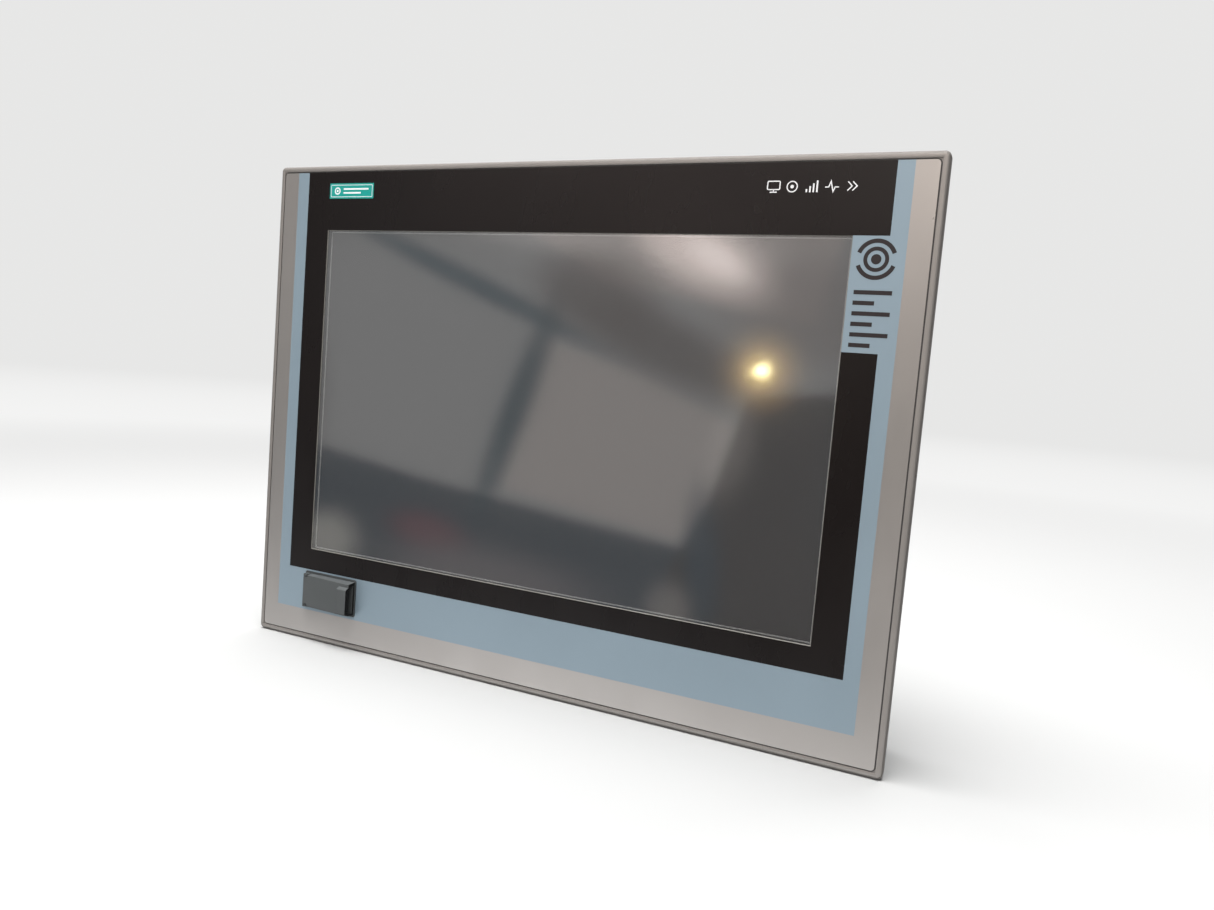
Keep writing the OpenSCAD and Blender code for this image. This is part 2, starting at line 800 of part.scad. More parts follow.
module board_posts() {
    color("silver") posts(board_points, carrier_back, board_y);
}

module power_posts() {
    color("silver") posts(power_points, carrier_back, power_y);
}

// ---- Computer ----

// A chip or component that stands on the rear face of the mainboard
module chip(x, z, w, h, t) {
    plate(w, h, 0, board_back - merge, board_back + t, x, z);
}

module mainboard() {
    mid_z = (board_lo_z + board_hi_z) / 2;
    color("darkgreen") {
        difference() {
            plate(board_w, board_hi_z - board_lo_z, 1, board_y, board_back, 0, mid_z);
            for (p = board_points) bar_y(p[0], p[1], board_y - over, board_back + over, m3_clear);
        }
        chip(-80, -60, 22, 22, 1.8);
        chip(-80, -20, 14, 14, 1.4);
        chip(-48, -88, 12, 12, 1.2);
        chip(-30, -100, 16, 16, 1.8);
        chip(20, -98, 12, 9, 1.2);
        for (i = [0 : 3]) chip(-100 + 12 * i, 12, 9, 9, 5);
        for (i = [0 : 4]) bar_y(-104 + 11 * i, -2, board_back - merge, board_back + 8, 8);
        for (i = [0 : 7]) chip(24 + 9 * i, 2, 4, 2.4, 1);
        for (i = [0 : 5]) chip(-66 + 8 * i, -76, 3, 1.6, 0.9);
        chip(60, 24, 26, 6, 6);
        chip(-40, 24, 16, 6, 6);
    }
}

module processor() {
    color([0.3, 0.32, 0.3]) {
        plate(cpu_size, cpu_size, 0.5, board_back, board_back + 1.2, cpu_x, cpu_z);
        plate(14, 12, 0.3, board_back + 1.1, cpu_back, cpu_x, cpu_z);
    }
}

module heat_spreader() {
    foot = 24;
    neck_y = cpu_back + 5;
    color("silver") {
        plate(foot, foot, 1, cpu_back, neck_y + 0.1, cpu_x, cpu_z);
        plate(spreader_size, spreader_size, 2, neck_y, cover_back, cpu_x, cpu_z);
    }
}

module memory_socket() {
    color([0.14, 0.14, 0.15]) difference() {
        union() {
            plate(74, 7, 0, board_back, board_back + 5.2, memory_x, memory_z - 18);
            for (s = [-1, 1]) {
                plate(2.4, 30, 0, board_back, board_back + 3, memory_x + s * 35.6, memory_z - 1);
                plate(3.2, 6, 0, board_back, board_back + 5, memory_x + s * 36, memory_z + 12);
            }
        }
        plate(67.9, 8, 0, memory_y - 0.1, memory_y + 1.3, memory_x, memory_z - 13);
    }
}

module memory_module() {
    color("green") {
        plate(67.6, 29, 0, memory_y, memory_y + 1.2, memory_x, memory_z - 1.5);
        for (i = [0 : 3])
            plate(11, 13, 0, memory_y + 1.1, memory_y + 2.2, memory_x - 24.5 + 16.4 * i, memory_z + 1.5);
    }
}

module ssd_drive() {
    color([0.2, 0.2, 0.22]) difference() {
        plate(100, 69.8, 2, ssd_y, ssd_y + ssd_t, -60, 85);
        plate(5, 34, 0, ssd_y + 1.2, ssd_y + 5, -12, 85);
    }
}

module ssd_bracket() {
    t = 1;
    color("gainsboro") difference() {
        union() {
            plate(120, 72, 1, carrier_back, ssd_y, -60, 85);
            for (s = [-1, 1]) block([-100, carrier_back, 85 + s * 35.8 - t / 2],
                [-20, ssd_y + 5, 85 + s * 35.8 + t / 2]);
        }
        for (p = ssd_points) bar_y(p[0], p[1], carrier_back - over, ssd_y + over, m3_clear);
        plate(70, 40, 4, carrier_back - over, ssd_y + over, -62, 85);
    }
}

module ssd_cable() {
    plug_y = ssd_y + 1.4;
    color("steelblue") {
        block([-13.6, plug_y, 70], [-4, plug_y + 3.4, 96]);
        cable([[-6, plug_y + 1.7, 76], [-3, plug_y + 6, 66], [-22, 27, 46], [-40, 27.6, 27]], 3);
        block([-47, board_back + 6, 21.5], [-33, board_back + 9, 26.5]);
    }
}

module power_board() {
    top = power_y + board_t;
    color("darkgreen") {
        difference() {
            plate(80, 60, 1, power_y, top, 60, 82);
            for (p = power_points) bar_y(p[0], p[1], power_y - over, top + over, m3_clear);
        }
        for (i = [0 : 3]) bar_y(36 + 13 * i, 98, top - merge, top + 14, 10);
        for (i = [0 : 1]) plate(18, 18, 2, top - merge, top + 9, 44 + 28 * i, 76);
        plate(20, 8, 0, top - merge, top + 8, 46, 60);
        plate(12, 10, 0, top - merge, top + 3, 80, 62);
    }
}

module power_cable() {
    color([0.15, 0.15, 0.15]) {
        for (s = [-1, 1]) cable([[48 + 3 * s, power_y + board_t + 9.5, 57], [50 + 3 * s, 26.5, 42],
            [58 + 3 * s, 27, 30]], 2.4);
        block([40, power_y + board_t + 8, 54], [56, power_y + board_t + 11, 63]);
        block([50, board_back + 6, 21], [70, board_back + 9, 31]);
    }
}

// ---- Connectors ----

// An outline in X and Y, drawn up from the mouth of a connector
module from_mouth(x, y, w, h, depth, lift = 0) {
    block([x - w / 2, y - h / 2, mouth_z + lift], [x + w / 2, y + h / 2, mouth_z + lift + depth]);
}

module dc_inlet() {
    mid = board_back + dc_size[1] / 2;
    pin_pitch = 5.08;
    color([0.2, 0.45, 0.25]) {
        difference() {
            from_mouth(dc_x, mid, dc_size[0], dc_size[1], dc_size[2]);
            from_mouth(dc_x, mid, 14, 7.6, 9, -0.1);
        }
        for (i = [-1, 0, 1]) from_mouth(dc_x + i * pin_pitch, mid, 1.3, 1.3, 9, 1.6);
    }
}

module ethernet_sockets() {
    mid = board_back + 7.2;
    depth = 14;
    color("silver") for (x = lan_x) {
        difference() {
            from_mouth(x, board_back + lan_size[1] / 2, lan_size[0], lan_size[1], lan_size[2]);
            from_mouth(x, mid, lan_hole[0], lan_hole[1], depth, -0.1);
            from_mouth(x, mid - 5, 6, 4.4, depth - 6, -0.1);
        }
        for (i = [-3.5 : 3.5]) from_mouth(x + i * 1.1, mid + 3.2, 0.5, 1.3, 8, 4);
    }
}

module rear_usb_shells() {
    color("silver") for (x = usb_x) difference() {
        from_mouth(x, board_back + usb_stack[1] / 2, usb_stack[0], usb_stack[1], usb_stack[2]);
        for (y = usb_port_y) from_mouth(x, y, usb_hole[0], usb_hole[1], 13, -0.1);
    }
}

module rear_usb_tongues() {
    color([0.15, 0.2, 0.5]) for (x = usb_x, y = usb_port_y) {
        from_mouth(x, y + 0.9, usb_tongue_size[0], usb_tongue_size[1], 8.6, 0.8);
        from_mouth(x, y, usb_hole[0] - 0.4, usb_hole[1] - 0.4, 3.4, 9.4);
    }
}

module display_port_shell() {
    bevel = 1.6;
    w = dp_hole[0] / 2;
    h = dp_hole[1] / 2;
    hole = [[-w, -h], [w - bevel, -h], [w, -h + bevel], [w, h], [-w, h]];
    color("silver") difference() {
        from_mouth(dp_x, dp_y, dp_size[0], dp_size[1], dp_size[2]);
        translate([dp_x, dp_y, 0]) prism_z(hole, mouth_z - over, mouth_z + 10);
    }
}

module display_port_tongue() {
    color([0.12, 0.12, 0.13]) {
        from_mouth(dp_x, dp_y + 0.5, 12.6, 1, 8, 0.7);
        from_mouth(dp_x - 0.9, dp_y, 13.6, 4, 2, 8);
    }
}

// The D-shaped outline of a nine-way connector, grown by g
function d_shape(g) = [[-8.2 - g, 3.9 + g], [8.2 + g, 3.9 + g], [7 + g, -3.9 - g], [-7 - g, -3.9 - g]];

module serial_shell() {
    flange_z = mouth_z + 0.6;
    nut_d = 5;
    color("silver") difference() {
        union() {
            block([serial_x - serial_flange[0] / 2, serial_y - serial_flange[1] / 2, io_floor_z + io_wall],
                [serial_x + serial_flange[0] / 2, serial_y + serial_flange[1] / 2, io_floor_z + 2 * io_wall]);
            translate([serial_x, serial_y, 0]) prism_z(d_shape(0.5), mouth_z, io_floor_z + io_wall + 0.1);
            for (s = [-1, 1]) translate([serial_x + s * serial_hole_pitch, serial_y, flange_z])
                cylinder(d = nut_d, h = 3.1, $fn = 6);
        }
        translate([serial_x, serial_y, 0]) prism_z(d_shape(0), mouth_z - over, mouth_z + 6);
        for (s = [-1, 1]) translate([serial_x + s * serial_hole_pitch, serial_y, mouth_z - over])
            cylinder(d = 2.6, h = 8);
    }
}

module serial_insert() {
    pin_pitch = 2.77;
    base_z = io_floor_z + 2 * io_wall;
    color([0.12, 0.12, 0.13]) {
        translate([serial_x, serial_y, 0]) prism_z(d_shape(-0.2), mouth_z + 2.6, base_z);
        block([serial_x - 10, board_back, base_z], [serial_x + 10, serial_y + 4, base_z + 9]);
        for (i = [-2 : 2]) translate([serial_x + i * pin_pitch, serial_y + 1.4, mouth_z + 0.4])
            cylinder(d = 1, h = 3, $fn = 16);
        for (i = [-1.5 : 1.5]) translate([serial_x + i * pin_pitch, serial_y - 1.4, mouth_z + 0.4])
            cylinder(d = 1, h = 3, $fn = 16);
    }
}

module battery_holder() {
    color([0.15, 0.15, 0.16]) difference() {
        union() {
            bar_y(door_x, door_z, board_back, board_back + 3.6, 2 * battery_r + 3);
            plate(8, 27, 1, board_back, board_back + 2.6, door_x, door_z);
        }
        bar_y(door_x, door_z, board_back + 1.2, board_back + 5, 2 * battery_r + 0.4);
        plate(12, 30, 0, board_back + 1.2, board_back + 5, door_x + 12, door_z);
    }
}

module battery_cell() {
    y0 = board_back + 1.2;
    color("silver") {
        bar_y(door_x, door_z, y0, y0 + 2.7, 2 * battery_r);
        bar_y(door_x, door_z, y0 + 2.6, y0 + 3.2, 2 * battery_r - 3);
    }
}

module switch_body() {
    hole = axle_r + axle_fit;
    bezel_z = io_floor_z - 1.1;
    color([0.1, 0.1, 0.11]) difference() {
        union() {
            block([switch_x - switch_bezel[0], switch_y - switch_bezel[1], bezel_z],
                [switch_x + switch_bezel[0], switch_y + switch_bezel[1], io_floor_z]);
            block([switch_x - switch_half[0], switch_y - switch_half[1], bezel_z],
                [switch_x + switch_half[0], switch_y + switch_half[1], -129]);
            for (s = [-1, 1]) block([switch_x + s * 3.4 - 0.4, switch_y - 2, -130],
                [switch_x + s * 3.4 + 0.4, switch_y + 2, -123]);
        }
        block([switch_x - switch_cavity[0], switch_y - switch_cavity[1], bezel_z - over],
            [switch_x + switch_cavity[0], switch_y + switch_cavity[1], -135]);
        translate([switch_x, switch_y, switch_axle_z]) rotate([90, 0, 0])
            cylinder(r = hole, h = 8.8, center = true);
    }
}

module switch_rocker() {
    edge = rocker_half[0];
    profile = [[-edge, -2.9], [0, -1.7], [edge, -2.9], [edge - 0.4, 1.4],
        [1.4, 2.6], [-1.4, 2.6], [-edge + 0.4, 1.4]];
    color([0.13, 0.13, 0.14]) translate([switch_x, switch_y, switch_axle_z]) rotate([0, -rocker_tilt, 0]) {
        rotate([90, 0, 0]) {
            linear_extrude(2 * rocker_half[1], center = true) polygon(profile);
            cylinder(r = axle_r, h = 8.4, center = true);
        }
    }
}

// A clearance window for a connector or the switch
module io_window(x, y, size) {
    from_mouth(x, y, size[0] + io_fit, size[1] + io_fit, io_cut);
}

module io_bracket() {
    rim_z = io_rim_z;
    top = io_floor_z + io_wall;
    nut_hole_d = 5.6;
    color("gainsboro") difference() {
        union() {
            block([-io_half - io_rim, io_y0 - 1.2, rim_z], [io_half + io_rim, io_y1 + 1, rim_z + io_wall]);
            block([-io_half - io_wall, io_y0 - io_wall, rim_z], [io_half + io_wall, io_y1 + io_wall, top]);
        }
        block([-io_half, io_y0, rim_z - over], [io_half, io_y1, io_floor_z]);
        io_window(dc_x, board_back + dc_size[1] / 2, dc_size);
        for (x = lan_x) io_window(x, board_back + lan_size[1] / 2, lan_size);
        for (x = usb_x) io_window(x, board_back + usb_stack[1] / 2, usb_stack);
        io_window(dp_x, dp_y, dp_size);
        io_window(switch_x, switch_y, 2 * switch_half);
        translate([serial_x, serial_y, 0]) prism_z(d_shape(0.8), mouth_z, top + over);
        for (s = [-1, 1]) translate([serial_x + s * serial_hole_pitch, serial_y, mouth_z])
            cylinder(d = nut_hole_d, h = io_cut);
    }
}

// ---- Rear ----

// A block of vertical vent slots through the rear cover
module cover_vents(x0, x1, z, h) {
    pitch = 8;
    width = 3.2;
    for (x = [x0 : pitch : x1]) plate(width, h, 0, cover_y - over, cover_back + over, x, z);
}

module rear_cover() {
    ear_w = 3;
    gap = spreader_size + 2;
    color("lightgray") difference() {
        union() {
            plate(tub_w, tub_h, tub_r, cover_y, cover_back);
            for (s = [-1, 1]) translate([door_x + s * (door_w / 2 - ear_w / 2), 0, 0]) {
                translate([-ear_w / 2, door_pin_y, door_pin_z]) rotate([0, 90, 0])
                    cylinder(r = door_knuckle_r, h = ear_w);
                block([-ear_w / 2, cover_back - 0.1, door_pin_z - door_knuckle_r],
                    [ear_w / 2, door_pin_y, door_pin_z + door_knuckle_r]);
            }
        }
        plate(gap, gap, 2, cover_y - over, cover_back + over, cpu_x, cpu_z);
        plate(bay_w, bay_h, 2, cover_y - over, cover_back + over, door_x, door_z);
        plate(8, 3, 0, cover_y - over, cover_back + over, door_x, door_z + door_h / 2 - 1.5);
        cover_vents(-132, 124, 117, 24);
        for (z = [60, 4, -52]) cover_vents(130, 178, z, 44);
        for (z = [50, -6, -62]) cover_vents(-178, -154, z, 44);
        for (p = cover_points) bar_y(p[0], p[1], cover_y - over, cover_back + over, m3_clear);
        for (p = sink_points) bar_y(sink_x + p[0] * sink_screw_x, sink_z + p[1] * sink_screw_z,
            cover_y - over, cover_back + over, m4_tap);
        bar_y(earth[0], earth[1], cover_y - over, cover_back + over, earth_d + 0.2);
        translate([door_x - door_w / 2 - over, door_pin_y, door_pin_z]) rotate([0, 90, 0])
            cylinder(r = door_pin_r + hinge_press, h = door_w + 2 * over);
    }
}

module cover_screws() {
    color("silver") for (p = cover_points) screw(p[0], p[1], cover_back, m3_head, m3_head_h, m3_core, m3_len);
}

module heat_sink() {
    fin_zone = sink_w - 2 * sink_ear - fin_t;
    pitch = fin_zone / (fin_count - 1);
    lift = 10;
    half = sink_h / 2;
    fin = [[cover_back + sink_base - 0.1, sink_z - half], [cover_back + sink_base + 2, sink_z - half],
        [sink_depth, sink_z - half + lift], [sink_depth, sink_z + half - lift],
        [cover_back + sink_base + 2, sink_z + half], [cover_back + sink_base - 0.1, sink_z + half]];
    color([0.25, 0.26, 0.28]) difference() {
        union() {
            plate(sink_w, sink_h, 2, cover_back, cover_back + sink_base, sink_x, sink_z);
            for (i = [0 : fin_count - 1]) {
                x = sink_x - fin_zone / 2 + i * pitch;
                prism_x(fin, x - fin_t / 2, x + fin_t / 2);
            }
        }
        for (p = sink_points) bar_y(sink_x + p[0] * sink_screw_x, sink_z + p[1] * sink_screw_z,
            cover_back - over, cover_back + sink_base + over, m4_clear);
    }
}

module heat_sink_screws() {
    color("silver") for (p = sink_points)
        screw(sink_x + p[0] * sink_screw_x, sink_z + p[1] * sink_screw_z, cover_back + sink_base,
            m4_head, m4_head_h, m4_core, m4_len);
}

module battery_door() {
    ear_w = 3;
    back = door_y + door_t;
    lo_z = door_z - door_h / 2;
    hi_z = door_z + door_h / 2;
    barrel = door_w - 2 * ear_w - 0.8;
    color("gray") difference() {
        union() {
            plate(door_w, door_h, 1.5, door_y, back, door_x, door_z);
            translate([door_x - barrel / 2, door_pin_y, door_pin_z]) rotate([0, 90, 0])
                cylinder(r = door_knuckle_r, h = barrel);
            block([door_x - barrel / 2, door_y, door_pin_z], [door_x + barrel / 2, back, lo_z + 1]);
            block([door_x - 3.4, cover_y - 1, hi_z - 2.6], [door_x + 3.4, door_y + 0.1, hi_z - 1.6]);
            block([door_x - 6, back - 0.1, hi_z - 5], [door_x + 6, back + 0.9, hi_z - 3.6]);
        }
        translate([door_x - door_w, door_pin_y, door_pin_z]) rotate([0, 90, 0])
            cylinder(r = door_pin_r + hinge_fit, h = 2 * door_w);
    }
}

module battery_door_pin() {
    color("silver") translate([door_x - door_w / 2 + 0.2, door_pin_y, door_pin_z]) rotate([0, 90, 0])
        cylinder(r = door_pin_r, h = door_w - 0.4);
}

module earth_stud() {
    head_d = 8;
    head_t = 3;
    washer_d = 9;
    washer_t = 0.8;
    nut_d = 8.08;
    nut_t = 3.2;
    free = 8;
    color("goldenrod") {
        bar_y(earth[0], earth[1], cover_y - head_t, cover_back + washer_t + nut_t + free, earth_d);
        hex_y(earth[0], earth[1], cover_y - head_t, cover_y, head_d);
        bar_y(earth[0], earth[1], cover_back, cover_back + washer_t, washer_d);
        hex_y(earth[0], earth[1], cover_back + washer_t - merge, cover_back + washer_t + nut_t, nut_d);
    }
}

module type_plate() {
    color("silver")
        plate(plate_size[0], plate_size[1], 1, cover_back, cover_back + 0.3, plate_pos[0], plate_pos[1]);
}

front_frame();
front_foil();
touch_glass();
touch_tape();
panel_seal();
display_bezel();
lcd_cell();
light_guide();
display_tray();
display_brackets();
touch_board();
touch_tail();
touch_cable();
display_cable();
usb_port_frame();
usb_shell();
usb_tongue();
usb_board();
usb_cable();
usb_hinge_pin();
usb_flap();
usb_flap_seal();
rear_housing();
housing_screws();
internal_screws();
carrier_plate();
carrier_posts();
mainboard();
board_posts();
processor();
heat_spreader();
memory_socket();
memory_module();
ssd_drive();
ssd_bracket();
ssd_cable();
power_board();
power_posts();
power_cable();
dc_inlet();
ethernet_sockets();
rear_usb_shells();
rear_usb_tongues();
display_port_shell();
display_port_tongue();
serial_shell();
serial_insert();
battery_holder();
battery_cell();
switch_body();
switch_rocker();
io_bracket();
rear_cover();
cover_screws();
heat_sink();
heat_sink_screws();
battery_door();
battery_door_pin();
earth_stud();
type_plate();
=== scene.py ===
import json
import math

import bmesh
import bpy
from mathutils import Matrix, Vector


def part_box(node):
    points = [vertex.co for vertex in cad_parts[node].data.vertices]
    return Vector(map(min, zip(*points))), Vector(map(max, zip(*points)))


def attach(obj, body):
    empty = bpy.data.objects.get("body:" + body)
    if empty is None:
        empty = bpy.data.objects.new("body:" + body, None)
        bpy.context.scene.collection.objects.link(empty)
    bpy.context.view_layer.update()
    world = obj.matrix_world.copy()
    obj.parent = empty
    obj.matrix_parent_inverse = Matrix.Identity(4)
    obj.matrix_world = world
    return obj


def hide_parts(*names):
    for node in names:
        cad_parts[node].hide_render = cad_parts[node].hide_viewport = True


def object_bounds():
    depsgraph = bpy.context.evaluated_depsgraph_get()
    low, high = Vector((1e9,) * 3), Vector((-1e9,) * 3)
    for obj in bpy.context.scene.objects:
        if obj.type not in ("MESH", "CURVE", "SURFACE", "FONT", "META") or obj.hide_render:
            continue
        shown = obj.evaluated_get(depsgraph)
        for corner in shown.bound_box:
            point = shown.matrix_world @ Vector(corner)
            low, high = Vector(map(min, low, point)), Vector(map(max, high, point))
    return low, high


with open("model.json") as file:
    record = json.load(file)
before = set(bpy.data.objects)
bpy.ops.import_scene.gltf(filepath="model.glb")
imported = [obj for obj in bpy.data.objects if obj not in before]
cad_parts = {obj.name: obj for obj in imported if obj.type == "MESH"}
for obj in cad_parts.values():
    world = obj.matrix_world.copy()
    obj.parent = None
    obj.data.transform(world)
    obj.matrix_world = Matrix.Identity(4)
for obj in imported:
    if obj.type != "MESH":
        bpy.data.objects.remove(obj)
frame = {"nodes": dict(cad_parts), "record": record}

cad_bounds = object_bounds()
nodes = frame["nodes"]
bodies = frame["record"]["behaviour"]["bodies"]
body_of = {node: body for body, members in bodies.items() for node in members}

MM = 0.001


# ---- Places taken from the frame ----

foil_lo, foil_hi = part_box("front_foil")
rim_lo, rim_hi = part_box("front_frame")
glass_lo, glass_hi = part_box("touch_glass")
bezel_lo, bezel_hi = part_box("display_bezel")
port_lo, port_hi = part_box("usb_port_frame")
flap_lo, flap_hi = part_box("usb_flap")
SEAL_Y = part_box("panel_seal")[0].y
FOIL_Y = foil_lo.y
FRONT_W = rim_hi.x - rim_lo.x
FRONT_H = rim_hi.z - rim_lo.z
FOIL_W = foil_hi.x - foil_lo.x
FOIL_H = foil_hi.z - foil_lo.z
FLOOR_Z = cad_bounds[0].z


def middle(low, high):
    """The middle (x, z) of a box, seen from the front."""
    return ((low.x + high.x) / 2, (low.z + high.z) / 2)


GLASS_MID = middle(glass_lo, glass_hi)
PORT_MID = middle(port_lo, port_hi)


# ---- Camera ----

# The camera's place from the middle of the foil, and its turn about X, Y and Z
CAMERA_FROM_FOIL = Vector((0.2475, -0.4596, 0.0360))
CAMERA_TURN = (84.968, -4.635, 24.415)
CAMERA_LENS = 26.70
CAMERA_SENSOR = 36.0


def place_camera():
    data = bpy.data.cameras.new("camera")
    data.sensor_fit = "HORIZONTAL"
    data.sensor_width = CAMERA_SENSOR
    data.lens = CAMERA_LENS
    data.clip_start = 0.01
    data.clip_end = 50
    camera = bpy.data.objects.new("camera", data)
    camera.location = Vector((0, FOIL_Y, 0)) + CAMERA_FROM_FOIL
    camera.rotation_euler = [math.radians(angle) for angle in CAMERA_TURN]
    bpy.context.scene.collection.objects.link(camera)
    bpy.context.scene.camera = camera


place_camera()


# ---- Shader helpers ----

class Shader:
    """A material built up from a Principled surface."""

    def __init__(self, name):
        self.material = bpy.data.materials.new(name)
        self.material.use_nodes = True
        self.nodes = self.material.node_tree.nodes
        self.links = self.material.node_tree.links
        self.nodes.clear()
        self.output = self.nodes.new("ShaderNodeOutputMaterial")
        self.surface = self.nodes.new("ShaderNodeBsdfPrincipled")
        self.links.new(self.surface.outputs[0], self.output.inputs[0])
        self.coords = self.nodes.new("ShaderNodeTexCoord").outputs["Object"]

    def node(self, kind, **values):
        node = self.nodes.new("ShaderNode" + kind)
        for key, value in values.items():
            setattr(node, key, value)
        return node

    def link(self, source, target):
        self.links.new(source, target)

    def feed(self, socket, value):
        """Gives a socket a number, a colour or the output of another node."""
        if isinstance(value, (int, float)):
            socket.default_value = value
        elif isinstance(value, (tuple, list)):
            socket.default_value = (*value, 1.0)
        else:
            self.link(value, socket)

    def stretched(self, scale):
        mapping = self.node("Mapping")
        mapping.inputs["Scale"].default_value = scale
        self.link(self.coords, mapping.inputs["Vector"])
        return mapping.outputs[0]

    def noise(self, scale, detail=2.0, rough=0.5, vector=None):
        node = self.node("TexNoise")
        node.inputs["Scale"].default_value = scale
        node.inputs["Detail"].default_value = detail
        node.inputs["Roughness"].default_value = rough
        self.link(vector or self.coords, node.inputs["Vector"])
        return node.outputs["Fac"]

    def cells(self, scale, feature="F1", output="Color", vector=None, spread=1.0):
        node = self.node("TexVoronoi", feature=feature)
        node.inputs["Scale"].default_value = scale
        node.inputs["Randomness"].default_value = spread
        self.link(vector or self.coords, node.inputs["Vector"])
        return node.outputs[output]

    def grey(self, colour):
        node = self.node("RGBToBW")
        self.link(colour, node.inputs[0])
        return node.outputs[0]

    def span(self, value, low, high, start=0.0, end=1.0):
        """What runs from start to end comes out from low to high."""
        node = self.node("MapRange")
        self.link(value, node.inputs["Value"])
        for key, number in (("From Min", start), ("From Max", end), ("To Min", low), ("To Max", high)):
            node.inputs[key].default_value = number
        return node.outputs[0]

    def math(self, operation, *values):
        node = self.node("Math", operation=operation)
        for socket, value in zip(node.inputs, values):
            self.feed(socket, value)
        return node.outputs[0]

    def mix(self, factor, first, second):
        """A mix of two colours, whose sockets come after the node's plain ones."""
        node = self.node("Mix", data_type="RGBA")
        self.feed(node.inputs[0], factor)
        self.feed(node.inputs[6], first)
        self.feed(node.inputs[7], second)
        return node.outputs[2]

    def varied(self, cloud, colour, mottle):
        """The colour, a little darker and lighter from place to place."""
        return self.mix(cloud, tone(colour, 1 - mottle), tone(colour, 1 + mottle))

    def axis(self, name):
        split = self.node("SeparateXYZ")
        self.link(self.coords, split.inputs[0])
        return split.outputs[name]

    def emission(self, colour, strength=1.0):
        node = self.node("Emission")
        self.feed(node.inputs["Color"], colour)
        self.feed(node.inputs["Strength"], strength)
        return node.outputs[0]

    def blend(self, factor, first, second):
        """A mix of two surfaces."""
        node = self.node("MixShader")
        for socket, source in zip(node.inputs, (factor, first, second)):
            self.link(source, socket)
        return node.outputs[0]

    def set(self, **values):
        names = {"colour": "Base Color", "rough": "Roughness", "metal": "Metallic", "alpha": "Alpha",
                 "spec": "Specular IOR Level", "coat": "Coat Weight", "coat_rough": "Coat Roughness",
                 "ior": "IOR"}
        for key, value in values.items():
            self.feed(self.surface.inputs[names[key]], value)

    def bump(self, *layers):
        """Each layer is a height from 0 to 1, and its depth in millimetres."""
        normal = None
        for height, depth in layers:
            node = self.node("Bump")
            node.inputs["Strength"].default_value = 1.0
            node.inputs["Distance"].default_value = depth * MM
            self.link(height, node.inputs["Height"])
            if normal:
                self.link(normal, node.inputs["Normal"])
            normal = node.outputs[0]
        self.link(normal, self.surface.inputs["Normal"])


def tone(colour, factor):
    return tuple(min(1.0, channel * factor) for channel in colour)


def moulded(name, colour, rough=0.5, grain=0.012, mottle=0.08, spec=0.5):
    """Moulded plastic or rubber: a fine eroded grain over slow changes of colour and gloss."""
    shader = Shader(name)
    shader.set(colour=shader.varied(shader.noise(60, 3), colour, mottle), spec=spec)
    shader.set(rough=shader.span(shader.noise(240, 3), rough - 0.06, rough + 0.06, 0.3, 0.7))
    shader.bump((shader.noise(2600, 2, 0.6), grain))
    return shader.material


def metal(name, colour, rough=0.3, brushed=None, grain=0.002, mottle=0.06):
    """Bare or plated metal, brushed along the axis whose stretch is small."""
    shader = Shader(name)
    vector = shader.stretched(brushed) if brushed else None
    lines = shader.noise(1400 if brushed else 900, 2, 0.6, vector)
    shader.set(colour=shader.varied(shader.noise(45, 4), colour, mottle), metal=1.0)
    shader.set(rough=shader.span(lines, rough - 0.07, rough + 0.09, 0.3, 0.7))
    shader.bump((lines, grain))
    return shader.material


def galvanised(name, colour):
    """Zinc-coated sheet with a faint spangle."""
    shader = Shader(name)
    flakes = shader.grey(shader.cells(130))
    scratches = shader.noise(900, 2, 0.7, shader.stretched((0.04, 1, 1)))
    clouds = shader.noise(14, 4, 0.6)
    tint = shader.mix(shader.span(flakes, 0, 1, 0.2, 0.8), tone(colour, 0.9), tone(colour, 1.08))
    dulled = shader.mix(shader.span(clouds, 0, 0.35, 0.3, 0.7), tint, tone(colour, 0.78))
    rub = shader.span(scratches, -0.03, 0.05, 0.3, 0.7)
    gloss = shader.math("ADD", shader.span(flakes, 0.30, 0.42), rub)
    shader.set(colour=dulled, metal=1.0, rough=gloss)
    shader.bump((flakes, 0.01), (scratches, 0.002))
    return shader.material


COPPER = (0.55, 0.42, 0.2)
CHIP_BLACK = (0.018, 0.018, 0.02)
CHIP_GREY = (0.42, 0.42, 0.43)


def board(name, mask, part_y):
    """A circuit board with tracks and pads; what stands above part_y is its components."""
    shader = Shader(name)
    upright = shader.stretched((1, 1, 0.16))
    tracks = shader.cells(480, "DISTANCE_TO_EDGE", "Distance", upright, spread=0.4)
    line = shader.span(tracks, 1, 0, 0.05, 0.12)
    pads = shader.span(shader.cells(420, output="Distance"), 1, 0, 0.10, 0.16)
    lined = shader.mix(line, mask, tone(mask, 1.5))
    bare = shader.mix(shader.math("MULTIPLY", pads, 0.8), lined, COPPER)
    kind = shader.span(shader.grey(shader.cells(70)), 0, 1, 0.55, 0.6)
    chips = shader.mix(kind, CHIP_BLACK, CHIP_GREY)
    above = shader.math("GREATER_THAN", shader.axis("Y"), part_y)
    shader.set(colour=shader.mix(above, bare, chips))
    shader.set(rough=shader.span(shader.noise(500, 2), 0.25, 0.5, 0.3, 0.7))
    shader.bump((line, 0.02))
    return shader.material


# ---- Mesh helpers ----

# Angles in degrees: an edge past the first two stays sharp, past BREAK_ANGLE it is broken,
# and under FLAT_ANGLE it only divides a flat face and is dissolved
SMOOTH_ANGLE, SOFTENED_ANGLE = 35, 30
BREAK_ANGLE = 40
FLAT_ANGLE = 2
WELD = 0.002 * MM
LEAST_RADIUS = 0.02 * MM


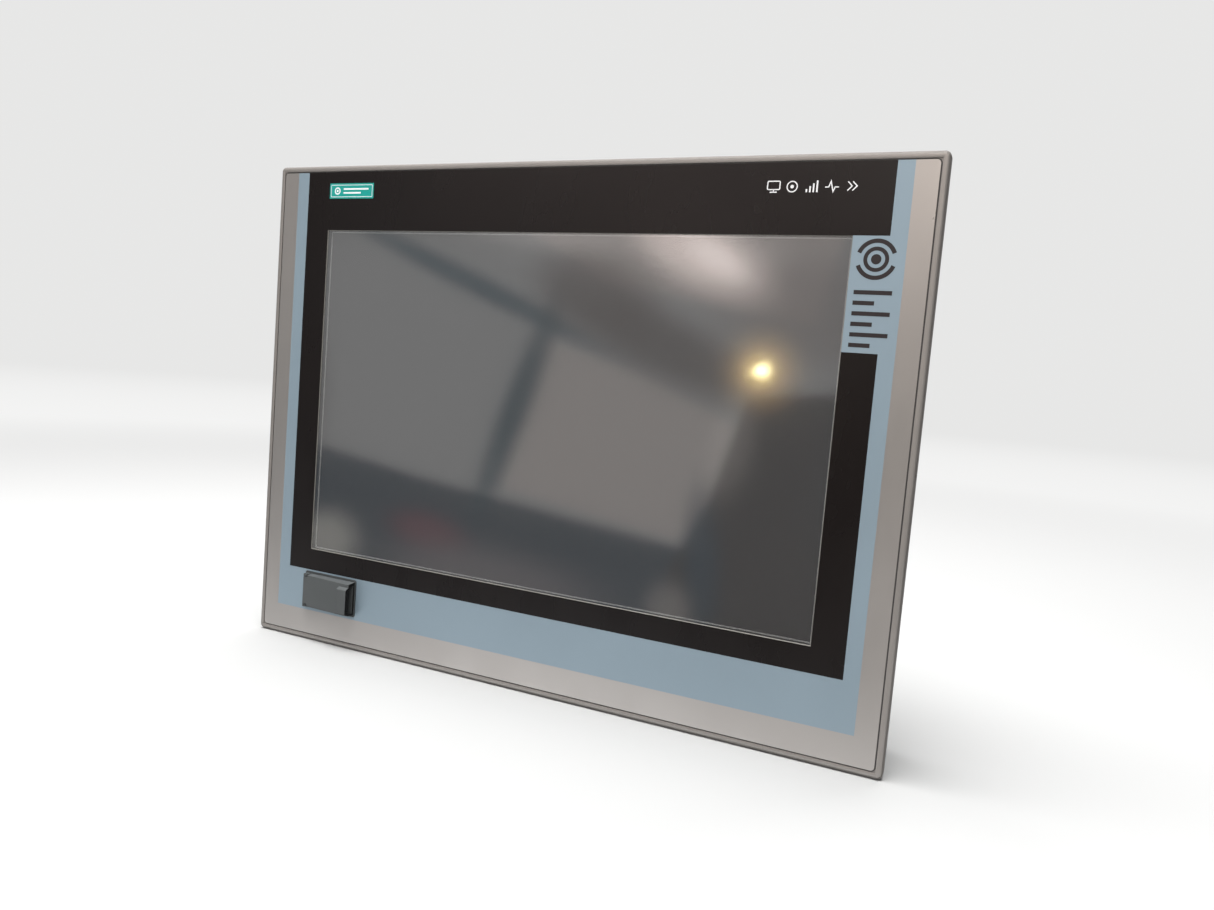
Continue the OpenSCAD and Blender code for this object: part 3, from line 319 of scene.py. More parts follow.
def new_piece(name, bm, materials, node, smooth=False):
    """A piece that rides with a CAD node's body, with the materials it is given."""
    mesh = bpy.data.meshes.new(name)
    bmesh.ops.recalc_face_normals(bm, faces=bm.faces)
    bm.to_mesh(mesh)
    bm.free()
    piece = bpy.data.objects.new(name, mesh)
    bpy.context.scene.collection.objects.link(piece)
    for material in materials:
        mesh.materials.append(material)
    if smooth:
        mesh.shade_smooth()
        mesh.set_sharp_from_angle(angle=math.radians(SMOOTH_ANGLE))
    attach(piece, body_of[node])
    return piece


def rounded_outline(width, height, radius, centre=(0.0, 0.0), steps=8):
    """Points (x, z) round a rectangle with rounded corners."""
    points = []
    radius = max(radius, LEAST_RADIUS)
    corners = ((1, 1, 0), (-1, 1, 90), (-1, -1, 180), (1, -1, 270))
    for side_x, side_z, start in corners:
        mid_x = centre[0] + side_x * (width / 2 - radius)
        mid_z = centre[1] + side_z * (height / 2 - radius)
        for step in range(steps + 1):
            turn = math.radians(start + 90 * step / steps)
            points.append((mid_x + radius * math.cos(turn), mid_z + radius * math.sin(turn)))
    return points


def circle_outline(radius, centre, steps=40):
    turns = [2 * math.pi * step / steps for step in range(steps)]
    return [(centre[0] + radius * math.cos(turn), centre[1] + radius * math.sin(turn)) for turn in turns]


def add_prism(bm, outline, y_front, y_back, holes=(), index=0):
    """A plate parallel to the front, with holes."""
    others = set(bm.faces)
    edges = []
    for loop in (outline, *holes):
        verts = [bm.verts.new((x, y_front, z)) for x, z in loop]
        edges += [bm.edges.new((verts[i - 1], verts[i])) for i in range(len(verts))]
    filled = bmesh.ops.triangle_fill(bm, use_beauty=True, use_dissolve=True, edges=edges, normal=(0, -1, 0))
    faces = [item for item in filled["geom"] if isinstance(item, bmesh.types.BMFace)]
    pushed = bmesh.ops.extrude_face_region(bm, geom=faces, use_keep_orig=True)
    moved = [item for item in pushed["geom"] if isinstance(item, bmesh.types.BMVert)]
    bmesh.ops.translate(bm, verts=moved, vec=(0, y_back - y_front, 0))
    for face in set(bm.faces) - others:
        face.material_index = index


def add_rings(bm, rings, index=0):
    """A solid ring through outlines with equally many points: rings is a list of (outline, y)."""
    loops = [[bm.verts.new((x, y, z)) for x, z in outline] for outline, y in rings]
    for first, second in zip(loops, loops[1:] + loops[:1]):
        for i in range(len(first)):
            face = bm.faces.new((first[i - 1], first[i], second[i], second[i - 1]))
            face.material_index = index


def ribbon_sides(points, width, closed):
    """The two sides (x, z) of a line of constant width."""
    count = len(points)
    left, right = [], []
    for i, (x, z) in enumerate(points):
        before = points[i - 1] if closed or i else points[i]
        after = points[(i + 1) % count] if closed or i < count - 1 else points[i]
        ways = (Vector((x - before[0], z - before[1])), Vector((after[0] - x, after[1] - z)))
        directions = [way.normalized() for way in ways if way.length > 1e-9]
        along = sum(directions, Vector((0, 0))).normalized()
        mitre = max(0.3, along.dot(directions[0]))
        across = Vector((-along.y, along.x)) * width / 2 / mitre
        left.append((x + across.x, z + across.y))
        right.append((x - across.x, z - across.y))
    return left, right


def add_ribbon(bm, points, width, y_front, y_back, closed=False):
    """A printed line of constant width along points (x, z)."""
    sides = ribbon_sides(points, width, closed)
    front_left, front_right, back_left, back_right = [
        [bm.verts.new((x, y, z)) for x, z in side] for y in (y_front, y_back) for side in sides]
    count = len(points)
    spans = [(i, (i + 1) % count) for i in range(count if closed else count - 1)]
    faces = ((front_left, front_right), (back_right, back_left),
             (front_left, back_left), (front_right, back_right))
    quads = [(one[i], one[j], other[j], other[i]) for one, other in faces for i, j in spans]
    if not closed:
        quads += [(front_left[i], front_right[i], back_right[i], back_left[i]) for i in (0, count - 1)]
    for quad in quads:
        bm.faces.new(quad)


def keep_flats_flat(piece):
    """Large faces set the shading, so that the broken edges don't bend it."""
    normals = piece.modifiers.new("normals", "WEIGHTED_NORMAL")
    normals.mode = "FACE_AREA"
    normals.weight = 100
    normals.keep_sharp = True


def softened(node, width, material):
    """A copy of a CAD node with edges broken by a width in millimetres, which is shown in its place."""
    mesh = nodes[node].data.copy()
    mesh.name = node + "_shape"
    piece = bpy.data.objects.new(mesh.name, mesh)
    bpy.context.scene.collection.objects.link(piece)
    bm = bmesh.new()
    bm.from_mesh(mesh)
    bmesh.ops.remove_doubles(bm, verts=bm.verts, dist=WELD)
    bmesh.ops.dissolve_limit(bm, angle_limit=math.radians(FLAT_ANGLE), verts=bm.verts, edges=bm.edges)
    for face in bm.faces:
        face.material_index = 0
    bm.to_mesh(mesh)
    bm.free()
    mesh.materials.clear()
    mesh.materials.append(material)
    bevel = piece.modifiers.new("edges", "BEVEL")
    bevel.width = width * MM
    bevel.segments = 2
    bevel.limit_method = "ANGLE"
    bevel.angle_limit = math.radians(BREAK_ANGLE)
    shaped = piece.evaluated_get(bpy.context.evaluated_depsgraph_get())
    finished = bpy.data.meshes.new_from_object(shaped)
    finished.name = mesh.name
    piece.modifiers.clear()
    piece.data = finished
    finished.shade_smooth()
    finished.set_sharp_from_angle(angle=math.radians(SOFTENED_ANGLE))
    keep_flats_flat(piece)
    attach(piece, body_of[node])
    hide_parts(node)
    return piece


def dress(node, material):
    """Gives a CAD node its material."""
    data = nodes[node].data
    data.materials.clear()
    data.materials.append(material)


# ---- Stage and light ----

WALL_TONE = (0.80, 0.80, 0.795)
ROOM_TONE = (0.30, 0.30, 0.30)
FLOOR_TONE = (0.34, 0.34, 0.338)
FAR_FLOOR_TONE = (0.90, 0.90, 0.895)
STAGE_SIZE = 14.0
FLOOR_DROP = 0.2 * MM
# How far out, in metres, the floor starts and ends turning into a glow, and the glow into the wall's
GLOW_START, GLOW_END = 0.45, 2.0
WALL_START, WALL_END = 1.6, 6.0


def glow_material(name, colour, strength):
    """A plain surface that gives out light."""
    shader = Shader(name)
    shader.nodes.remove(shader.surface)
    shader.link(shader.emission(colour, strength), shader.output.inputs[0])
    return shader.material


def floor_material():
    """Pale paper near the object, which turns into an even glow further out."""
    shader = Shader("floor_paper")
    shader.set(colour=shader.mix(shader.noise(3, 2), tone(FLOOR_TONE, 0.98), FLOOR_TONE), rough=0.9, spec=0.1)
    shader.bump((shader.noise(700, 2), 0.02))
    squares = [shader.math("POWER", shader.axis(name), 2.0) for name in "XY"]
    away = shader.math("SQRT", shader.math("ADD", *squares))
    near = shader.span(away, 0, 1, GLOW_START, GLOW_END)
    far = shader.span(away, 0, 1, WALL_START, WALL_END)
    for fade in (near, far):
        fade.node.interpolation_type = "SMOOTHSTEP"
    glow = shader.emission(shader.mix(far, FAR_FLOOR_TONE, WALL_TONE))
    shader.link(shader.blend(near, shader.surface.outputs[0], glow), shader.output.inputs[0])
    return shader.material


def stage_piece(name, bm, material, unseen_by):
    """A piece that isn't part of the object, with the kinds of ray that don't see it."""
    mesh = bpy.data.meshes.new(name)
    bm.to_mesh(mesh)
    bm.free()
    mesh.materials.append(material)
    piece = bpy.data.objects.new(name, mesh)
    bpy.context.scene.collection.objects.link(piece)
    for ray in unseen_by:
        setattr(piece, "visible_" + ray, False)
    return piece


def build_floor():
    bm = bmesh.new()
    bmesh.ops.create_grid(bm, x_segments=2, y_segments=2, size=STAGE_SIZE / 2)
    floor = stage_piece("floor", bm, floor_material(), ["glossy"])
    floor.location = (0, 0, FLOOR_Z - FLOOR_DROP)


def build_backdrop():
    bm = bmesh.new()
    bmesh.ops.create_uvsphere(bm, u_segments=48, v_segments=24, radius=STAGE_SIZE / 2)
    paper = glow_material("backdrop_paper", WALL_TONE, 1.0)
    stage_piece("backdrop", bm, paper, ["diffuse", "glossy", "transmission", "shadow", "volume_scatter"])


def build_room():
    """Even light from all round, and tones that come out as they are."""
    world = bpy.data.worlds.new("room")
    world.use_nodes = True
    background = world.node_tree.nodes["Background"]
    background.inputs[0].default_value = (*ROOM_TONE, 1)
    bpy.context.scene.world = world
    bpy.context.scene.view_settings.view_transform = "Standard"


def area_light(name, spot, target, size, power, colour=(1, 1, 1)):
    """A soft light that only lights: the camera and glossy surfaces don't see it."""
    data = bpy.data.lights.new(name, "AREA")
    data.shape = "RECTANGLE"
    data.size, data.size_y = size
    data.energy = power
    data.color = colour
    light = bpy.data.objects.new(name, data)
    light.location = spot
    light.rotation_euler = (Vector(target) - Vector(spot)).to_track_quat("-Z", "Y").to_euler()
    light.visible_camera = False
    light.visible_glossy = False
    bpy.context.scene.collection.objects.link(light)
    return light


# What the front mirrors: flat cards one metre before it, each with its outline (x, z) in metres,
# its tone and its brightness. A later card lies before an earlier one.
CARD_Y = -1.0
CARD_STEP = 2 * MM
CARDS = [
    ("wall", ((-3, -1.5), (3, -1.5), (3, 1.5), (-3, 1.5)), (1.0, 1.0, 1.0), 0.68),
    ("floor_sheen", ((-3, -0.72), (-1.0, -0.60), (-0.5, -0.46), (-0.2, -0.50), (0, -0.56), (3, -0.56),
                     (3, -1.5), (-3, -1.5)), (0.97, 0.985, 1.0), 2.7),
    ("top_strip", ((-0.75, 0.32), (0.1, 0.32), (0.1, 0.6), (-0.75, 0.6)), (1.0, 0.86, 0.82), 4.0),
    ("left_dim", ((-3, 1.5), (-1.12, 1.5), (-1.12, -0.25), (-3, -0.25)), (1.0, 0.92, 0.84), 0.10),
    ("right_high", ((0.0, 0.33), (0.9, 0.30), (0.9, 1.2), (0.0, 1.2)), (1.0, 0.91, 0.84), 3.0),
    ("dark_low", ((-1.2, -0.13), (-0.78, -0.19), (-0.50, -0.22), (0.3, -0.30), (0.3, -0.43),
                  (-1.2, -0.46)), (0.60, 0.80, 1.0), 0.16),
    ("dark_right", ((-0.27, -0.44), (-0.26, -0.28), (-0.205, -0.17), (-0.15, 0.02), (0.03, 0.04),
                    (0.03, -0.50)), (1.0, 0.92, 0.90), 0.11),
    ("right_side", ((0.03, -0.50), (0.03, 0.30), (0.9, 0.30), (0.9, -0.50)), (1.0, 0.93, 0.87), 0.62),
    ("panel_low", ((-0.555, 0.10), (-0.34, 0.045), (-0.165, -0.03), (-0.205, -0.17), (-0.25, -0.235),
                   (-0.60, -0.188)), (1.0, 0.92, 0.88), 0.87),
    ("panel_high", ((-0.92, 0.46), (-0.42, 0.20), (-0.05, 0.14), (0.02, 0.46)), (1.0, 0.91, 0.87), 0.98),
]
# Soft patches over the cards: middle (x, z), half widths, turn in degrees, tone, brightness and cover.
# A patch with no cover adds its light to what is behind it.
SOFT_PATCHES = [
    ("beam_slanted", (-0.68, 0.186), (0.48, 0.031), -21, (0.45, 0.80, 1.0), 0.24, 0.92),
    ("beam_upright", (-0.570, -0.04), (0.047, 0.34), -19, (0.45, 0.80, 1.0), 0.20, 0.95),
    ("shade", (-0.42, 0.175), (0.20, 0.10), -20, (1.0, 0.84, 0.78), 0.28, 0.7),
    ("shade_band", (-0.29, 0.090), (0.34, 0.085), -21, (1.0, 0.90, 0.86), 0.27, 0.85),
    ("shade_right", (-0.02, 0.16), (0.32, 0.14), -10, (1.0, 0.88, 0.84), 0.45, 0.6),
    ("left_shade", (-1.05, -0.05), (0.09, 0.24), 0, (1.0, 0.98, 0.95), 0.35, 0.6),
    ("side_shade", (0.07, -0.12), (0.14, 0.28), 0, (0.90, 0.97, 1.0), 0.15, 0.75),
    ("side_light", (0.09, 0.19), (0.10, 0.13), 0, (1.0, 0.90, 0.88), 0.20, 0),
    ("red_cloth", (-0.73, -0.285), (0.14, 0.060), -8, (1.0, 0.42, 0.52), 0.34, 0.8),
    ("blue_column", (-0.19, -0.26), (0.050, 0.19), 6, (0.42, 0.72, 1.0), 0.18, 0.8),
    ("bench_low", (-0.60, -0.36), (0.38, 0.11), 0, (1.0, 0.93, 0.97), 0.38, 0.85),
    ("bench", (-0.965, -0.33), (0.12, 0.09), 10, (1.0, 0.97, 0.90), 0.85, 0.9),
    ("bench_right", (-0.24, -0.345), (0.065, 0.08), 0, (1.0, 0.94, 0.90), 0.55, 0.8),
    ("edge_glow", (-0.155, -0.06), (0.06, 0.14), -8, (1.0, 0.92, 0.84), 0.22, 0),
    ("window", (-0.243, 0.247), (0.20, 0.080), -26, (1.0, 0.83, 0.77), 1.75, 0),
    ("window_core", (-0.205, 0.232), (0.10, 0.035), -30, (1.0, 0.92, 0.88), 0.9, 0),
    ("window_left", (-0.54, 0.290), (0.30, 0.07), -8, (1.0, 0.93, 0.90), 0.45, 0),
    ("window_streak", (-0.16, 0.25), (0.12, 0.05), -8, (1.0, 0.90, 0.86), 0.25, 0),
    ("lamp_glow", (-0.116, 0.062), (0.085, 0.085), 0, (1.0, 0.58, 0.16), 0.85, 0),
    ("lamp_halo", (-0.117, 0.062), (0.042, 0.042), 0, (1.0, 0.74, 0.24), 2.1, 0),
]
PATCH_Y = CARD_Y + 40 * MM

# A soft patch is at its full strength inside this share of its radius
PATCH_CORE = 0.15

# The small bright lamp: its place (x, z), size, turn in degrees, tone and power
LAMP_SPOT = (-0.117, 0.062)
LAMP_SIZE = (0.012, 0.004)
LAMP_Y = PATCH_Y + 30 * MM
LAMP_TURN = -3
LAMP_TONE = (1.0, 0.86, 0.46)
LAMP_POWER = 0.019

# The dark flag to the right of the object
FLAG_X = 0.6
FLAG_FRONT, FLAG_BACK = -0.22, 0.5
FLAG_HEIGHT = 0.9

# The kinds of ray that don't see a card
ALL_BUT_GLOSS = ("camera", "diffuse", "transmission", "shadow", "volume_scatter")


def soft_patch(name, colour, strength, cover):
    """Light that fades out from the middle of a round card, and covers or adds to what is behind it."""
    shader = Shader(name)
    shader.nodes.remove(shader.surface)
    length = shader.node("VectorMath", operation="LENGTH")
    shader.link(shader.coords, length.inputs[0])
    fade = shader.span(length.outputs["Value"], cover or strength, 0, PATCH_CORE, 1.0)
    fade.node.interpolation_type = "SMOOTHERSTEP"
    clear = shader.node("BsdfTransparent").outputs[0]
    if cover:
        total = shader.blend(fade, clear, shader.emission(colour, strength))
    else:
        both = shader.node("AddShader")
        shader.link(shader.emission(colour, fade), both.inputs[0])
        shader.link(clear, both.inputs[1])
        total = both.outputs[0]
    shader.link(total, shader.output.inputs[0])
    return shader.material


def build_cards():
    for place, (name, outline, colour, strength) in enumerate(CARDS):
        bm = bmesh.new()
        y = CARD_Y + CARD_STEP * place
        bm.faces.new([bm.verts.new((x, y, z)) for x, z in outline])
        stage_piece("card_" + name, bm, glow_material("card_" + name, colour, strength), ALL_BUT_GLOSS)


def build_soft_patches():
    for place, (name, (x, z), (half_x, half_z), turn, *look) in enumerate(SOFT_PATCHES):
        bm = bmesh.new()
        bm.faces.new([bm.verts.new((px, 0, pz)) for px, pz in circle_outline(1, (0, 0), 48)])
        patch = stage_piece("patch_" + name, bm, soft_patch("patch_" + name, *look), ALL_BUT_GLOSS)
        patch.location = (x, PATCH_Y + CARD_STEP * place, z)
        patch.scale = (half_x, 1, half_z)
        patch.rotation_euler = (0, math.radians(-turn), 0)


def build_lamp():
    """The small bright lamp that the screen mirrors."""
    x, z = LAMP_SPOT
    light = area_light("lamp", (x, LAMP_Y, z), (x, 0, z), LAMP_SIZE, LAMP_POWER, LAMP_TONE)
    light.rotation_euler.rotate_axis("Z", math.radians(LAMP_TURN))
    light.visible_glossy = True
    light.visible_diffuse = False
    light.visible_transmission = False


def build_flag():
    """A dark flag out to the right, which shades the edges that face it."""
    bm = bmesh.new()
    top = FLOOR_Z + FLAG_HEIGHT
    corners = ((FLAG_FRONT, FLOOR_Z), (FLAG_BACK, FLOOR_Z), (FLAG_BACK, top), (FLAG_FRONT, top))
    bm.faces.new([bm.verts.new((FLAG_X, y, z)) for y, z in corners])
    cloth = glow_material("flag_cloth", (0.01, 0.01, 0.01), 1.0)
    stage_piece("flag", bm, cloth, ("camera", "transmission", "shadow", "volume_scatter"))


build_floor()
build_backdrop()
build_room()
build_cards()
build_soft_patches()
build_lamp()
build_flag()
area_light("ceiling", spot=(-0.2, -0.32, 1.8), target=(0, 0, 0), size=(1.8, 1.4), power=134)
area_light("front_fill", spot=(0.3, -1.8, 0.4), target=(0, 0, 0), size=(1.6, 1.0), power=2)
area_light("back_fill", spot=(0.3, 1.6, 1.1), target=(0.1, 0, 0), size=(2.0, 1.2), power=30)


# ---- Materials of the front ----

def foil_print(name, colour, rough, spec=0.4, metal=0.0):
    """Printed polyester with the fine texture of its matt side."""
    shader = Shader(name)
    cloud = shader.span(shader.noise(11, 3), 0, 1, 0.3, 0.7)
    smears = shader.noise(26, 4, 0.65, shader.stretched((1, 1, 0.35)))
    shader.set(colour=shader.varied(cloud, colour, 0.035), spec=spec, metal=metal)
    shader.set(rough=shader.span(smears, rough - 0.05, rough + 0.06, 0.3, 0.7))
    shader.bump((shader.noise(3800, 1, 0.5), 0.0035), (shader.noise(420, 2), 0.002))
    return shader.material


FOIL_SILVER = foil_print("foil_silver", (0.310, 0.292, 0.277), 0.32, metal=0.65)
FOIL_BLUE = foil_print("foil_blue", (0.203, 0.262, 0.304), 0.38, metal=0.2)
FOIL_BLACK = foil_print("foil_black", (0.0062, 0.0044, 0.0041), 0.28, spec=0.19)
FOIL_EDGE = foil_print("foil_edge", (0.15, 0.145, 0.13), 0.35)
# Near-black strip in the gap round the foil: painted shade for the shadow in that gap
GAP_SHADE_STRIP = moulded("gap_shade_strip", (0.035, 0.033, 0.031), 0.6)
# The bezel lip's light diffuse colour: partly its bright metal, partly a painted highlight so that the edge
# reads as a light line
LIP_METAL_AND_HIGHLIGHT = moulded("lip_metal_and_highlight", (0.80, 0.80, 0.77), 0.4)
INK_WHITE = foil_print("ink_white", (0.70, 0.69, 0.69), 0.5, spec=0.3)
INK_BLACK = foil_print("ink_black", (0.016, 0.012, 0.013), 0.42, spec=0.3)
INK_TEAL = foil_print("ink_teal", (0.006, 0.25, 0.215), 0.42, spec=0.3)


def frame_finish():
    """Satin aluminium, lightly rubbed."""
    shader = Shader("frame_satin")
    cloud = shader.span(shader.noise(9, 3), 0, 1, 0.3, 0.7)
    rub = shader.noise(160, 4, 0.7, shader.stretched((0.3, 1, 0.3)))
    shader.set(colour=shader.varied(cloud, (0.218, 0.201, 0.187), 0.05), metal=0.35)
    shader.set(rough=shader.span(rub, 0.33, 0.46, 0.3, 0.7))
    shader.bump((shader.noise(2100, 2, 0.6), 0.004))
    return shader.material


FRAME_SATIN = frame_finish()


def screen_glass():
    """Etched glass: a soft mirror image over a faint milky haze, and the display dimly behind."""
    shader = Shader("screen_glass")
    haze = shader.noise(7, 3)
    shader.set(colour=shader.mix(haze, (0.030, 0.030, 0.031), (0.040, 0.039, 0.038)), alpha=0.55)
    shader.set(rough=shader.span(shader.noise(30, 4, 0.6), 0.066, 0.076, 0.3, 0.7))
    shader.set(ior=2.1, spec=1.0, coat=0.35, coat_rough=0.16)
    return shader.material


def display_face():
    """The dark face of the display, which is off."""
    shader = Shader("display_face")
    shader.set(colour=shader.mix(shader.noise(6, 2), (0.030, 0.030, 0.032), (0.042, 0.041, 0.040)), rough=0.5)
    shader.bump((shader.noise(3600, 1), 0.002))
    return shader.material


# ---- Front frame, with its rounded rim ----

# The rim and its rounding, the plate inside it, and the groove that the seal sits in
RIM_CORNER = 3 * MM
RIM_ROUND = 2.2 * MM
RIM_STEPS = 7
RIM_BREAK = 0.35 * MM
RIM_FACET = 0.1 * MM
REAR_BREAK = 0.4 * MM
PLATE_MARGIN = 12 * MM
SEAL_SINK = 1.2 * MM
GROOVE_OUT_W, GROOVE_IN_W = 411.4 * MM, 398.2 * MM
FRAME_BACK = SEAL_Y + SEAL_SINK

# The ledge behind the glass, the openings in the plate, and the foil in its recess
LEDGE_GAP = 0.3 * MM
POCKET_GAP, POCKET_R = MM, 2 * MM
APERTURE_W, APERTURE_H = 334.6 * MM, 211.4 * MM
PORT_HOLE_W, PORT_HOLE_H, PORT_HOLE_R = 36 * MM, 18 * MM, 1.2 * MM
FOIL_CORNER = 2 * MM
FOIL_GAP = 0.7 * MM


def frame_section():
    """The rim's section, as (distance in from the outline, y)."""
    section = [(0, FRAME_BACK - REAR_BREAK)]
    for step in range(RIM_STEPS + 1):
        turn = math.radians(90 * step / RIM_STEPS)
        section.append((RIM_ROUND * (1 - math.cos(turn)), rim_lo.y + RIM_ROUND * (1 - math.sin(turn))))
    rim_in = (FRONT_W - FOIL_W) / 2 - FOIL_GAP
    section += [(rim_in - RIM_BREAK, rim_lo.y), (rim_in - RIM_FACET, rim_lo.y + RIM_FACET),
                (rim_in, rim_lo.y + RIM_BREAK), (rim_in, foil_hi.y),
                (PLATE_MARGIN, foil_hi.y), (PLATE_MARGIN, FRAME_BACK)]
    groove_in, groove_out = ((FRONT_W - width) / 2 for width in (GROOVE_IN_W, GROOVE_OUT_W))
    section += [(groove_in, FRAME_BACK), (groove_in, SEAL_Y), (groove_out, SEAL_Y), (groove_out, FRAME_BACK),
                (REAR_BREAK, FRAME_BACK)]
    return section


def build_front_frame():
    """A cast frame: the rim's rounded section swept round the front, and the plate inside it."""
    bm = bmesh.new()
    add_rings(bm, [(rounded_outline(FRONT_W - 2 * d, FRONT_H - 2 * d, RIM_CORNER - d, steps=10), y)
                   for d, y in frame_section()])
    pocket_w, pocket_h = glass_hi.x - glass_lo.x + POCKET_GAP, glass_hi.z - glass_lo.z + POCKET_GAP
    pocket = rounded_outline(pocket_w, pocket_h, POCKET_R, GLASS_MID)
    aperture = rounded_outline(APERTURE_W, APERTURE_H, MM, GLASS_MID)
    port_hole = rounded_outline(PORT_HOLE_W, PORT_HOLE_H, PORT_HOLE_R, PORT_MID)
    overlap = 0.1 * MM
    outer = rounded_outline(FRONT_W - 2 * PLATE_MARGIN + overlap, FRONT_H - 2 * PLATE_MARGIN + overlap, MM)
    ledge_y = glass_hi.y + LEDGE_GAP
    add_prism(bm, outer, foil_hi.y, ledge_y, holes=(pocket, port_hole))
    add_prism(bm, outer, ledge_y, FRAME_BACK, holes=(aperture, port_hole))
    piece = new_piece("front_frame_cast", bm, [FRAME_SATIN], "front_frame", smooth=True)
    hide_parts("front_frame")


# ---- Foil, with its three printed colours ----

# The print's edges and the window, in millimetres from the middle of the front
BLUE_LEFT, BLUE_RIGHT, BLUE_LOW = -192.0, 191.8, -135.0
BLACK_LEFT, BLACK_RIGHT, BLACK_LOW = -183.2, 183.5, -107.7
BLOCK_LOW, BLOCK_HIGH = 57.2, 114.6
WINDOW_W, WINDOW_H, WINDOW_R = 330.8, 207.5, 0.6
PORT_WINDOW_W, PORT_WINDOW_H, PORT_WINDOW_R = 42.6, 24.6, 1.5
FOIL_BEVEL = 0.35

# The bezel's lip, and the dark strip of painted shade in the gap between the foil and the rim
LIP_W = 0.6 * MM
LIP_IN = 0.5 * MM
LIP_HALF_T = 0.2 * MM
SHADE_STRIP_FRONT, SHADE_STRIP_BACK = 0.08 * MM, 0.01 * MM
SHADE_STRIP_CLEARANCE = 0.02 * MM


def scaled(points):
    return [(x * MM, z * MM) for x, z in points]


def silver_outline():
    """The border along both sides and below, round the blue field."""
    top = foil_hi.z / MM
    corners = rounded_outline(FOIL_W / MM, FOIL_H / MM, FOIL_CORNER / MM)
    quarter = len(corners) // 4
    inside = [(BLUE_RIGHT, top), (BLUE_RIGHT, BLUE_LOW), (BLUE_LEFT, BLUE_LOW), (BLUE_LEFT, top)]
    return corners[quarter:] + corners[:quarter] + inside


def blue_outline():
    """The field inside the border, with its block beside the window."""
    top, in_x = foil_hi.z / MM, WINDOW_W / 2 + FOIL_BEVEL
    return [(BLUE_LEFT, top), (BLUE_LEFT, BLUE_LOW), (BLUE_RIGHT, BLUE_LOW), (BLUE_RIGHT, top),
            (BLACK_RIGHT, top), (BLACK_RIGHT, BLOCK_HIGH), (in_x, BLOCK_HIGH), (in_x, BLOCK_LOW),
            (BLACK_RIGHT, BLOCK_LOW), (BLACK_RIGHT, BLACK_LOW), (BLACK_LEFT, BLACK_LOW), (BLACK_LEFT, top)]


def black_outline():
    """The field round the window."""
    top, mid_z = foil_hi.z / MM, GLASS_MID[1] / MM
    in_x, in_z = WINDOW_W / 2 + FOIL_BEVEL, WINDOW_H / 2 + FOIL_BEVEL
    return [(BLACK_LEFT, top), (BLACK_LEFT, BLACK_LOW), (BLACK_RIGHT, BLACK_LOW), (BLACK_RIGHT, BLOCK_LOW),
            (in_x, BLOCK_LOW), (in_x, mid_z - in_z), (-in_x, mid_z - in_z), (-in_x, mid_z + in_z),
            (in_x, mid_z + in_z), (in_x, BLOCK_HIGH), (BLACK_RIGHT, BLOCK_HIGH), (BLACK_RIGHT, top)]


def build_foil():
    """The foil in its three colours, bevelled round the window."""
    front, back = foil_lo.y, foil_hi.y
    port_hole = rounded_outline(PORT_WINDOW_W * MM, PORT_WINDOW_H * MM, PORT_WINDOW_R * MM, PORT_MID)
    bm = bmesh.new()
    add_prism(bm, scaled(silver_outline()), front, back, index=0)
    add_prism(bm, scaled(blue_outline()), front, back, holes=(port_hole,), index=1)
    add_prism(bm, scaled(black_outline()), front, back, index=2)
    width, height, slope = WINDOW_W * MM, WINDOW_H * MM, FOIL_BEVEL * MM
    outer = rounded_outline(width + 2 * slope, height + 2 * slope, 0, GLASS_MID, 6)
    inner = rounded_outline(width, height, WINDOW_R * MM, GLASS_MID, 6)
    add_rings(bm, [(outer, front), (inner, front + slope), (inner, back), (outer, back)], index=3)
    piece = new_piece("front_foil_print", bm, [FOIL_SILVER, FOIL_BLUE, FOIL_BLACK, FOIL_EDGE], "front_foil")
    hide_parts("front_foil")


def build_gap_shade_strip():
    """A dark strip in the gap between the foil and the rim: painted shade where the gap lies in shadow."""
    bm = bmesh.new()
    outline = rounded_outline(FOIL_W + FOIL_GAP, FOIL_H + FOIL_GAP, FOIL_CORNER + FOIL_GAP / 2)
    width = FOIL_GAP - SHADE_STRIP_CLEARANCE
    add_ribbon(bm, outline, width, foil_hi.y - SHADE_STRIP_FRONT, foil_hi.y - SHADE_STRIP_BACK, closed=True)
    new_piece("foil_gap_shade_strip", bm, [GAP_SHADE_STRIP], "front_foil")


def build_bezel_lip():
    """The display bezel's turned edge. Its light colour is partly its bright metal and partly a painted
    highlight, so it shows as a fine light line inside the window.
    """
    bm = bmesh.new()
    width, height = WINDOW_W * MM - 2 * LIP_IN, WINDOW_H * MM - 2 * LIP_IN
    outline = rounded_outline(width, height, 0.3 * MM, middle(bezel_lo, bezel_hi), 4)
    add_ribbon(bm, outline, LIP_W, bezel_lo.y - LIP_HALF_T, bezel_lo.y + LIP_HALF_T, closed=True)
    new_piece("bezel_lip", bm, [LIP_METAL_AND_HIGHLIGHT], "display_bezel")


# ---- Printed marks: plain signs in place of lettering ----

# How far the ink stands out of the foil, and how far it goes in
INK_T = 0.04 * MM
INK_BACK = 0.01 * MM


def printed(name, ink, shapes):
    """Marks of one ink in millimetres: lines (points, width, closed), or filled where the width is None."""
    bm = bmesh.new()
    y_front, y_back = FOIL_Y - INK_T, FOIL_Y + INK_BACK
    for points, width, closed in shapes:
        if width is None:
            add_prism(bm, scaled(points), y_front, y_back)
        else:
            add_ribbon(bm, scaled(points), width * MM, y_front, y_back, closed)
    new_piece(name, bm, [ink], "front_foil")


def ring(centre, radius, width, steps=40):
    return (circle_outline(radius, centre, steps), width, True)


def disc(centre, radius, steps=28):
    return (circle_outline(radius, centre, steps), None, None)


def arc(centre, radius, start, end, width, steps=18):
    turns = [math.radians(start + (end - start) * step / steps) for step in range(steps + 1)]
    points = [(centre[0] + radius * math.cos(turn), centre[1] + radius * math.sin(turn)) for turn in turns]
    return (points, width, False)


def line(start, end, width):
    return ([start, end], width, False)


def frame_line(centre, width, height, thick, radius=0.6):
    return (rounded_outline(width, height, radius, centre, 5), thick, True)


